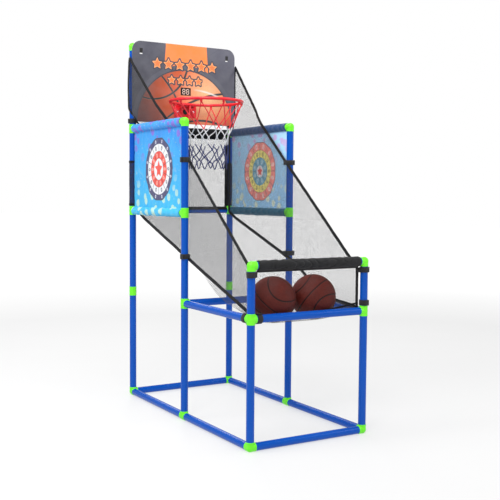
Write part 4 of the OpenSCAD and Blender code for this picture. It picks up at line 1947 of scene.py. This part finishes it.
@dataclass
class TargetPanel:
    """A printed cloth panel, sleeved on to the two arms at one side.

    Attributes:
        lines: where the tubes run.
        side: -1 for the left, 1 for the right.
        slack: how far its wrinkles stand out.
        flat: its flat size, along the arms by round and down; not used.
    """

    lines: Layout
    side: int
    slack: float = 0.0030
    flat: tuple[float, float] = (0.403, 0.455)

    def face(self, share: float, y: float) -> tuple[float, float]:
        """A point of the panel between its sleeves.

        Args:
            share: 0 at the lower sleeve, 1 at the upper one.
            y: the place along the arms.

        Returns:
            The offset outwards and the height.
        """
        at = self.lines
        gap = 0.0136
        z = (at.low + gap) * (1 - share) + (at.high - gap) * share
        near_top, near_low = math.exp(-(1 - share) * 9), math.exp(-share * 8)
        hold = sin(pi * share) ** 0.35
        tuck = sin(y * 190 + 3 * ripple((y, 0, z), 9, 2)) * 0.0006 * (near_top + near_low)
        hang = ripple((0.3 * z, y, 0.0), 22, self.side * 3.0) * 0.5
        hang += ripple((0.6 * z + 0.9 * y, y, 0), 11, 6.0)
        crease = abs(ripple((0, y + 0.25 * z, 0.5 * z), 15, 9.0 * self.side))
        sharp = -0.0014 * max(0.0, 0.10 - crease) / 0.10
        return self.slack * hang * hold * 0.55 + tuck + sharp * hold, z

    def build(self, finish: PanelPrint) -> None:
        """Makes the panel.

        Args:
            finish: the finish of its cloth.
        """
        at = self.lines
        name = "left" if self.side < 0 else "right"
        low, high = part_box(f"{name}_target_panel")
        radius = at.tube_r + 0.0010
        rows = []
        for y in np.linspace(low.y, high.y, 220):
            row = []
            for turn in np.linspace(pi, -pi, 40):
                a = -pi / 2 + turn
                wrinkle = 0.0011 * ripple((cos(a) * 0.03, y, sin(a) * 0.03), 30, 1.5)
                wrinkle += 0.0006 * sin(y * 210 + 4 * cos(a) + 2 * ripple((y, a * 0.01, 0), 12))
                r = radius + 0.0006 + max(-0.0004, wrinkle) + 0.0008 * max(0.0, sin(a))
                row.append((self.side * r * cos(a), at.high + r * sin(a)))
            for share in np.linspace(1, 0, 110)[1:-1]:
                row.append(self.face(share, y))
            for turn in np.linspace(0, 2 * pi, 40):
                a = pi / 2 - turn
                wrinkle = 0.0014 * ripple((cos(a) * 0.03, y, sin(a) * 0.03), 26, 8.5)
                slack = 2.5 * ripple((y, a * 0.01, 0), 10, 4)
                wrinkle += 0.0009 * sin(y * 150 + 5 * cos(a) + slack)
                r = radius + 0.0008 + max(-0.0005, wrinkle) + 0.0010 * max(0.0, -sin(a))
                row.append((r * cos(a), at.low + r * sin(a)))
            rows.append([(self.side * (at.post_x + out), y, z) for out, z in row])
        piece = skin(f"{name}_target_cloth", rows)
        modifier(piece, "SOLIDIFY", thickness=0.0007, offset=0)
        place(settle(piece), finish.make(), (f"{name}_target_panel",))


# ---- backboard and hoop


@dataclass
class Backboard:
    """The printed board and the clips that hold it on the top bar.

    Attributes:
        lines: where the tubes run.
        corner: the radius of its corners.
        bevel: the radius of its edges.
        slot_x: distance of the clip slots from the middle.
        slot_drop: depth of the slots' middle below the top edge.
        slot_size: the slots' width and height.
    """

    lines: Layout
    corner: float = 0.035
    bevel: float = 0.0009
    slot_x: float = 0.185
    slot_drop: float = 0.038
    slot_size: tuple[float, float] = (0.012, 0.022)

    def build(self) -> None:
        """Makes the board and dresses its clips."""
        low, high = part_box("backboard")
        width, height = high.x - low.x, high.z - low.z
        window_low, window_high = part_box("display_window")
        screw_low, screw_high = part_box("rim_screws")
        screw_z = (screw_low.z + screw_high.z) / 2
        outlines = [round_rect(0, (low.z + high.z) / 2, width, height, self.corner, 16)]
        for side in (-1, 1):
            slot_z = high.z - self.slot_drop
            outlines.append(round_rect(side * self.slot_x, slot_z, *self.slot_size, 0.0012, 3))
            outlines.append(ring_outline(side * (screw_high.x - SCREW_HEAD_R), screw_z, SCREW_HOLE_R, 20))
        outlines.append(ring_outline(0, screw_z, size("sensor_eye").z / 2 + FIT_GAP))
        window = (window_low + window_high) / 2
        outlines.append(round_rect(window.x, window.z, window_high.x - window_low.x + 2 * FIT_GAP,
                                   window_high.z - window_low.z + 2 * FIT_GAP, 0.0008, 2))
        board = plate("printed_backboard", outlines, low.y, high.y - low.y, self.bevel)
        art = BoardPrint(middle=(0.002, low.z + 0.0015), ball_r=0.203, top=high.z, width=width, back=high.y)
        place(board, art.make(), ("backboard",))
        dress_nodes(Moulded("black_clip_plastic", srgb(24, 24, 26), srgb(32, 32, 34)).make(), "black_plastic",
                    "board_clips")


@dataclass
class Hoop:
    """The rim with its bracket, lugs, screws and hanging net.

    Attributes:
        rod: the diameter of the rim's rod.
        lugs: how many lugs hold the net.
        cord_r: the radius of the net's cord.
        rows: the net's knot rows, each the drop below the rim and the radius there.
        seed: fixes the small irregularities of the net.
    """

    rod: float = 0.011
    lugs: int = 10
    cord_r: float = 0.0020
    rows: tuple[tuple[float, float], ...] = (
        (0.010, 0.1325), (0.086, 0.1010), (0.130, 0.0860), (0.178, 0.0775), (0.214, 0.0735),
    )
    seed: int = 41

    def middle(self) -> Vector:
        """The middle of the rim's ring."""
        low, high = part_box("rim")
        width = high.x - low.x
        return Vector((0.0, low.y + width / 2, high.z - self.rod / 2))

    def rim(self) -> None:
        """Makes the rim as one moulding."""
        centre_point = self.middle()
        low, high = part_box("rim")
        ring_r = (high.x - low.x - self.rod) / 2
        back = high.y
        shape = Shape()
        section = circle(self.rod / 2, 20) + np.array([ring_r, 0])
        shape.lathe(section, centre_point, turns=180)
        tongue_y = centre_point.y + ring_r
        shape.block((0, (tongue_y - 0.004 + back - 0.001) / 2, centre_point.z),
                    (0.062, back - tongue_y + 0.003, 0.0052), 0.0012)
        for side in (-1, 1):
            web = np.array([(back - 0.002, centre_point.z + 0.001), (back - 0.031, centre_point.z + 0.001),
                            (back - 0.031, centre_point.z - 0.002), (back - 0.002, centre_point.z - 0.0165)])
            rows = [np.stack([np.full(4, side * 0.025 + dx), web[:, 0], web[:, 1]], 1)
                    for dx in (-0.002, 0.002)]
            shape.grid(rows, ring=True, caps=True)
        for i in range(self.lugs):
            a = 2 * pi * (i + 0.5) / self.lugs
            out = np.array([cos(a), sin(a), 0])
            path = [np.asarray(centre_point) + out * (ring_r + dr) + np.array([0, 0, dz])
                    for dr, dz in ((-0.0015, -0.002), (-0.0034, -0.0072), (-0.0012, -0.0104),
                                   (0.0012, -0.0104), (0.0034, -0.0072), (0.0015, -0.002))]
            shape.cord(spline(path, 5), 0.0019, 10)
            shape.block(np.asarray(centre_point) + out * ring_r, (0.0085, 0.0085, 0.0122), 0.003)
        solid = shape.object("rim_ring_parts")

        screw_low, screw_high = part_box("rim_screws")
        screw_z = (screw_low.z + screw_high.z) / 2
        plate_w, plate_h = 0.096, 0.052
        outlines = [round_rect(0, low.z + plate_h / 2, plate_w, plate_h, 0.006, 8)]
        outlines.append(ring_outline(0, screw_z, size("sensor_eye").z / 2 + FIT_GAP))
        outlines += [ring_outline(side * (screw_high.x - SCREW_HEAD_R), screw_z, SCREW_HOLE_R, 20)
                     for side in (-1, 1)]
        bracket = plate("rim_bracket_part", outlines, back - 0.003, 0.003, 0.0006)
        bm = bmesh.new()
        bm.from_mesh(solid.data)
        bm.from_mesh(bracket.data)
        mesh = bpy.data.meshes.new("rim_moulding")
        bm.to_mesh(mesh)
        bm.free()
        for part in (solid, bracket):
            bpy.data.objects.remove(part)
        piece = to_scene("rim_moulding", mesh)
        modifier(piece, "REMESH", mode="VOXEL", voxel_size=FUSE_GRID, use_smooth_shade=True)
        modifier(piece, "SMOOTH", factor=0.5, iterations=3)
        place(settle(piece), RimPaint().make(), ("rim",))

    def screws(self) -> None:
        """Makes the two pan-head screws with their cross recess."""
        low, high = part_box("rim_screws")
        z = (low.z + high.z) / 2
        x = high.x - SCREW_HEAD_R
        shape = Shape()
        profile = [(0.0, 0.0), (0.0016, 0.0001), (0.0034, 0.0005), (0.0046, 0.0013),
                   (SCREW_HEAD_R, 0.0024), (SCREW_HEAD_R, 0.0030), (0.0020, 0.0031),
                   (0.0020, high.y - low.y), (0.0, high.y - low.y)]
        for side in (-1, 1):
            shape.lathe([(max(r, 0.00002), h) for r, h in profile], (side * x, low.y, z), "y", 36)
        piece = shape.object("rim_fixing_screws")
        cut = Shape()
        for side in (-1, 1):
            cut.block((side * x, low.y, z), (0.0056, 0.0030, 0.0011), 0.0002)
            cut.block((side * x, low.y, z), (0.0011, 0.0030, 0.0056), 0.0002)
        tool = cut.object("screw_recess_tool")
        modifier(piece, "BOOLEAN", object=tool, operation="DIFFERENCE", solver="EXACT", use_self=True)
        settle(piece)
        bpy.data.objects.remove(tool)
        for polygon in piece.data.polygons:
            polygon.use_smooth = False
        steel = Metal("plated_screw_steel", srgb(215, 215, 220), 0.28).make()
        place(piece, steel, ("rim_screws",))

    def net(self) -> None:
        """Makes the hanging net: diagonals from lug to knot, knots and the loops at the bottom."""
        rng = random.Random(self.seed)
        top = self.middle()
        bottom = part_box("hoop_net")[0].z
        count = self.lugs
        nodes: list[list[np.ndarray]] = []
        for j, (drop, radius) in enumerate(self.rows):
            row = []
            for i in range(count):
                a = 2 * pi * (i + 0.5 + 0.5 * (j % 2)) / count + (rng.uniform(-0.10, 0.10) if j else 0)
                r = radius * (1 + (rng.uniform(-0.07, 0.05) if j > 1 else 0))
                d = drop + (rng.uniform(-0.008, 0.008) if j else 0)
                x = top.x + r * cos(a) + 0.0022 * j
                row.append(np.array([x, top.y + r * sin(a), top.z - d]))
            nodes.append(row)
        shape = Shape()
        for i in range(count):
            for way in (0, 1):
                path = [nodes[0][i]]
                k = i
                for j in range(1, len(self.rows)):
                    if way == 0:
                        k = k if j % 2 else k + 1
                    else:
                        k = k - 1 if j % 2 else k
                    side = np.array([rng.uniform(-1, 1), rng.uniform(-1, 1), 0]) * 0.0028
                    path.append((path[-1] + nodes[j][k % count]) / 2 + side + np.array([0, 0, -0.002]))
                    path.append(nodes[j][k % count])
                shape.cord(spline(path, 6), self.cord_r, 8)
            first = nodes[0][i]
            lug = 2 * pi * (i + 0.5) / count
            eye = [first + np.array([cos(t) * 0.0032 * sin(lug), -cos(t) * 0.0032 * cos(lug),
                                     0.0014 + 0.0052 * sin(t)])
                   for t in np.linspace(0, 2 * pi, 14)[:-1]]
            shape.cord(eye, self.cord_r * 0.95, 8, loop=True)
        for j in range(1, len(self.rows)):
            for node in nodes[j]:
                self.knot(shape, node, top)
        last = nodes[-1]
        for i in range(count):
            a, b = last[i], last[(i + 1) % count]
            middle = (a + b) / 2
            path = [a, a * 0.75 + b * 0.25 + np.array([0, 0, -0.010]),
                    np.array([middle[0], middle[1], bottom + 0.0018 + rng.uniform(0, 0.003)]),
                    a * 0.25 + b * 0.75 + np.array([0, 0, -0.010]), b]
            shape.cord(spline(path, 8), self.cord_r, 8)
        piece = shape.object("hoop_net_cords")
        cord = NetCord((top.z - 0.094, top.z - 0.160)).make()
        place(piece, cord, ("hoop_net",))

    def knot(self, shape: Shape, middle: np.ndarray, top: Vector) -> None:
        """Adds a small sleeve where two cords cross."""
        out = middle - np.array([top.x, top.y, middle[2]])
        out /= np.linalg.norm(out)
        side = np.array([-out[1], out[0], 0])
        ring = [middle + side * 0.0022 * cos(t) + np.array([0, 0, 0.0030 * sin(t)])
                for t in np.linspace(0, 2 * pi, 12)[:-1]]
        shape.cord(ring, 0.0016, 6, loop=True)

    def build(self) -> None:
        """Makes the rim, its screws and its net."""
        self.rim()
        self.screws()
        self.net()
        dress_nodes(Metal("nut_steel", srgb(190, 190, 195), 0.35).make(), "plated_screw", "rim_nuts")


# ---- score unit and balls


@dataclass
class ScoreUnit:
    """The electronic unit behind the board and what shows of it in front."""

    def build(self) -> None:
        """Dresses the unit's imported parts."""
        window = centre("display_window")
        finishes = (
            (Moulded("black_case_plastic", srgb(30, 30, 33), srgb(40, 40, 44), 0.42, 0.0009), "black_plastic",
             ("score_housing", "score_rear_cover", "battery_cover")),
            (DigitWindow((window.x, window.z)), "dark_lens", ("display_window",)),
            (Moulded("black_eye_plastic", srgb(14, 14, 16), srgb(22, 22, 25), 0.25, 0.0009), "dark_lens",
             ("sensor_eye",)),
            (PlainSkin("display_block_plastic", srgb(214, 214, 206), srgb(190, 190, 184)), "display_block",
             ("display_module",)),
            (PlainSkin("green_circuit_board", srgb(20, 92, 48), srgb(198, 170, 90), 0.4, 0.0016),
             "circuit_green", ("circuit_board",)),
            (Moulded("sensor_wire_sleeve", srgb(26, 26, 28), srgb(36, 36, 38)), "wire_sleeve",
             ("sensor_lead",)),
            (PlainSkin("speaker_cone_paper", srgb(40, 40, 42), srgb(70, 70, 72), 0.8), "speaker_cone",
             ("speaker",)),
            (Metal("plated_contact", srgb(200, 196, 180), 0.3), "plated_screw",
             ("battery_contacts", "cover_screws")),
            (PlainSkin("cell_wrap_film", srgb(70, 74, 80), srgb(150, 120, 60), 0.35, 0.02), "cell_wrap",
             ("batteries",)),
            (Moulded("grey_switch_plastic", srgb(120, 122, 126), srgb(104, 106, 110)), "switch_grey",
             ("power_switch",)),
            (Moulded("red_button_plastic", srgb(196, 32, 34), srgb(168, 26, 30)), "button_red",
             ("reset_button",)),
        )
        for finish, slot, nodes in finishes:
            dress_nodes(finish.make(), slot, *nodes)


@dataclass
class Ball:
    """A small inflated ball with pebbled panels, sunk seams and a valve.

    Attributes:
        name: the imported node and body.
        slant: the direction across its seams, in degrees up from the player's right.
        turned: how far the ball is rolled across its seams, in degrees.
        seam_w: half the width of a seam.
        seam_d: how deep the seams are.
    """

    name: str
    slant: float
    turned: float
    seam_w: float = 0.0024
    seam_d: float = 0.0009

    def seam(self, p: Vector) -> float:
        """The distance from the nearest seam, as an angle, in a direction from the middle."""
        loop = abs(p.x) - (0.60 + 0.16 * (p.y**2 - p.z**2))
        return min(abs(p.x), abs(p.z), abs(loop) * 1.15)

    def build(self, rubber: Material, valve: Material) -> None:
        """Makes the ball.

        Args:
            rubber: the finish of its panels.
            valve: the finish of its valve.
        """
        middle = centre(self.name)
        radius = size(self.name).z / 2
        face = Vector((-0.54, -0.83, 0.12)).normalized()
        right = face.cross(Vector((0, 0, -1))).normalized()
        up = face.cross(right)
        slant = math.radians(self.slant)
        across = right * cos(slant) + up * sin(slant)
        turn = Matrix((across, face.cross(across), face)).transposed()
        turn = turn @ Matrix.Rotation(math.radians(self.turned), 3, "Y")
        back = turn.inverted()
        bm = bmesh.new()
        bmesh.ops.create_icosphere(bm, subdivisions=7, radius=1)
        mesh = bpy.data.meshes.new(self.name + "_cover")
        depths = []
        for vertex in bm.verts:
            way = vertex.co.normalized()
            off = self.seam(back @ way) * radius
            share = max(0.0, 1 - off / self.seam_w)
            dip = min(1.0, share * 1.6)
            depths.append(dip)
            hole = (back @ way - Vector((0.0, 0.7071, 0.7071))).length * radius
            vertex.co = middle + way * (radius - self.seam_d * dip**0.7 - (0.0012 if hole < 0.0022 else 0))
        bm.to_mesh(mesh)
        bm.free()
        mesh.attributes.new("seam", "FLOAT", "POINT").data.foreach_set("value", depths)
        mesh.polygons.foreach_set("use_smooth", [True] * len(mesh.polygons))
        piece = to_scene(self.name + "_cover", mesh)
        place(piece, rubber, (self.name,), self.name)

        way = turn @ Vector((0.0, 0.7071, 0.7071))
        side = way.orthogonal().normalized()
        other = way.cross(side)
        rows = [[middle + way * (radius - h) + (side * cos(t) + other * sin(t)) * r
                 for t in full_turn(24)]
                for r, h in ((0.0020, 0.0020), (0.0020, 0.0006), (0.0016, 0.0003), (0.0006, 0.0004),
                             (0.0005, 0.0020))]
        shape = Shape()
        shape.grid(rows, ring=True, caps=True)
        place(shape.object(self.name + "_valve"), valve, (), self.name)


# ---- studio


@dataclass
class Studio:
    """The floor, the lights, the backdrop and the camera.

    Attributes:
        eye: where the camera stands.
        heading: its turn from +Y towards +X, in degrees.
        tilt: its tilt above the level, in degrees.
        roll: its roll, in degrees.
        lens: its focal length, in millimetres, on a 36 mm sensor.
        sky: the light of the white surroundings.
        sky_seen: what the backdrop adds to it where the camera sees it.
        floor_grey: how much light the floor throws back.
        floor_near, floor_far: the light of its own that the floor has round the machine and far off.
        fade_at, fade_width: where the one changes into the other, and over what width.
    """

    eye: tuple[float, float, float] = (-1.5664, -2.6861, 0.7768)
    heading: float = 30.989
    tilt: float = -3.642
    roll: float = 0.390
    lens: float = 63.66
    sky: float = 0.50
    sky_seen: float = 0.50
    floor_grey: float = 0.30
    floor_near: float = 0.56
    floor_far: float = 0.84
    fade_at: float = 3.8
    fade_width: float = 2.4

    def camera(self) -> None:
        """Makes the camera."""
        data = bpy.data.cameras.new("camera")
        data.lens = self.lens
        data.sensor_width = 36
        data.clip_end = 60
        yaw, tilt, roll = (math.radians(a) for a in (self.heading, self.tilt, self.roll))
        ahead = Vector((sin(yaw) * cos(tilt), cos(yaw) * cos(tilt), sin(tilt)))
        right = Vector((cos(yaw), -sin(yaw), 0))
        up = right.cross(ahead)
        x = right * cos(roll) + up * sin(roll)
        y = up * cos(roll) - right * sin(roll)
        turn = Matrix((x, y, -ahead)).transposed().to_4x4()
        eye = to_scene("camera", data)
        eye.matrix_world = Matrix.Translation(self.eye) @ turn
        bpy.context.scene.camera = eye

    def light(self, name: str, place_at: Point, aim: Point, width: float, power: float) -> None:
        """Adds a square soft light.

        Args:
            name: the light's name.
            place_at: where it hangs.
            aim: what it points at.
            width: its width.
            power: its power, in watts.
        """
        data = bpy.data.lights.new(name, "AREA")
        data.size = width
        data.energy = power
        lamp = to_scene(name, data)
        lamp.location = place_at
        lamp.rotation_euler = (Vector(aim) - Vector(place_at)).to_track_quat("-Z", "Y").to_euler()

    def floor(self) -> None:
        """Makes the pale floor."""
        shape = Shape()
        xs = np.linspace(-14, 14, 9)
        shape.grid([[(x, y, 0.0) for x in xs] for y in np.linspace(-8, 30, 9)])
        floor = shape.object("studio_floor", smooth=False)
        c = Canvas("white_floor_sweep")
        far = distance(c.x, c.y).above(self.fade_at, self.fade_width)
        c.glow(c.mix(far, (self.floor_near,) * 3, (self.floor_far,) * 3), 1.0)
        finish = c.dress((self.floor_grey,) * 3, c.noise(3, 2).scaled(0.1, 0.5), specular_ior_level=0.2)
        floor.data.materials.append(finish)

    def build(self) -> None:
        """Makes the studio."""
        self.camera()
        self.floor()
        world = bpy.data.worlds.new("white_studio")
        world.use_nodes = True
        tree = world.node_tree
        sky = tree.nodes["Background"]
        sky.inputs[0].default_value = (1.0, 1.0, 1.0, 1)
        seen = tree.nodes.new("ShaderNodeLightPath").outputs["Is Camera Ray"]
        level = tree.nodes.new("ShaderNodeMath")
        level.operation = "MULTIPLY_ADD"
        tree.links.new(seen, level.inputs[0])
        level.inputs[1].default_value = self.sky_seen
        level.inputs[2].default_value = self.sky
        tree.links.new(level.outputs[0], sky.inputs[1])
        bpy.context.scene.world = world
        self.light("key_light", (-2.2, -2.6, 3.0), (0, 0, 0.8), 1.5, 74)
        self.light("top_light", (-0.2, -0.6, 3.4), (0, 0, 0.6), 1.4, 40)
        self.light("left_light", (-2.0, 0.2, 2.6), (0.2, 0.2, 0.86), 0.9, 30)
        self.light("fill_light", (3.0, -2.2, 2.0), (0, 0, 0.7), 2.0, 30)
        self.light("back_light", (0.5, 3.6, 2.8), (0, 0, 0.7), 2.2, 36)
        scene = bpy.context.scene
        scene.view_settings.view_transform = "Standard"
        scene.view_settings.look = "None"


# ---- the machine


def panel_prints(lines: Layout) -> tuple[PanelPrint, PanelPrint]:
    """The finishes of the left and right target panels.

    Args:
        lines: where the tubes run.

    Returns:
        The left and the right panel's finish.
    """
    white, navy, red = srgb(236, 238, 242), srgb(72, 68, 112), srgb(240, 74, 56)
    middle = (lines.front + 0.646, (lines.low + lines.high) / 2 - 0.0026)
    span = (lines.low - 0.014, lines.high + 0.014)
    left = PanelPrint(
        "left_panel_print", srgb(36, 136, 232), srgb(44, 186, 240), srgb(132, 104, 216), srgb(196, 232, 214),
        srgb(40, 42, 60),
        (TargetRing(0.1115, navy, srgb(236, 238, 250), 12), TargetRing(0.0905, white, srgb(70, 72, 96), 10),
         TargetRing(0.0640, red, srgb(250, 190, 180), 10), TargetRing(0.0385, white, red, 10)),
        middle, span)
    right = PanelPrint(
        "right_panel_print", srgb(176, 220, 255), srgb(160, 210, 252), srgb(206, 176, 226),
        srgb(236, 244, 216), srgb(96, 92, 100),
        (TargetRing(0.1115, srgb(255, 150, 140), srgb(255, 226, 218), 12),
         TargetRing(0.0800, srgb(250, 236, 132), srgb(150, 140, 90), 10),
         TargetRing(0.0530, srgb(116, 176, 200), srgb(190, 214, 224), 8),
         TargetRing(0.0230, srgb(232, 226, 228), srgb(226, 96, 88), 8)),
        # The 0.22 is the right cloth's glow: painted light that brightens it with no lamp.
        middle, span, (srgb(0, 92, 120), srgb(10, 62, 112)), 0.22)
    return left, right


def main() -> None:
    """Builds the studio and every part of the machine."""
    logging.basicConfig(level=logging.INFO, format="%(name)s: %(message)s")
    lines = Layout.read()
    Studio().build()
    TubeFrame(lines).build()
    BarPad(lines).build()
    NetEnclosure(lines).build()
    left, right = panel_prints(lines)
    TargetPanel(lines, -1).build(left)
    TargetPanel(lines, 1).build(right)
    Backboard(lines).build()
    Hoop().build()
    ScoreUnit().build()
    rubber = BallRubber().make()
    valve = Moulded("valve_rubber", srgb(20, 20, 20), srgb(32, 30, 30), 0.5).make()
    Ball("left_ball", 50, -22).build(rubber, valve)
    Ball("right_ball", 138, 12).build(rubber, valve)


if __name__ == "__main__":
    main()
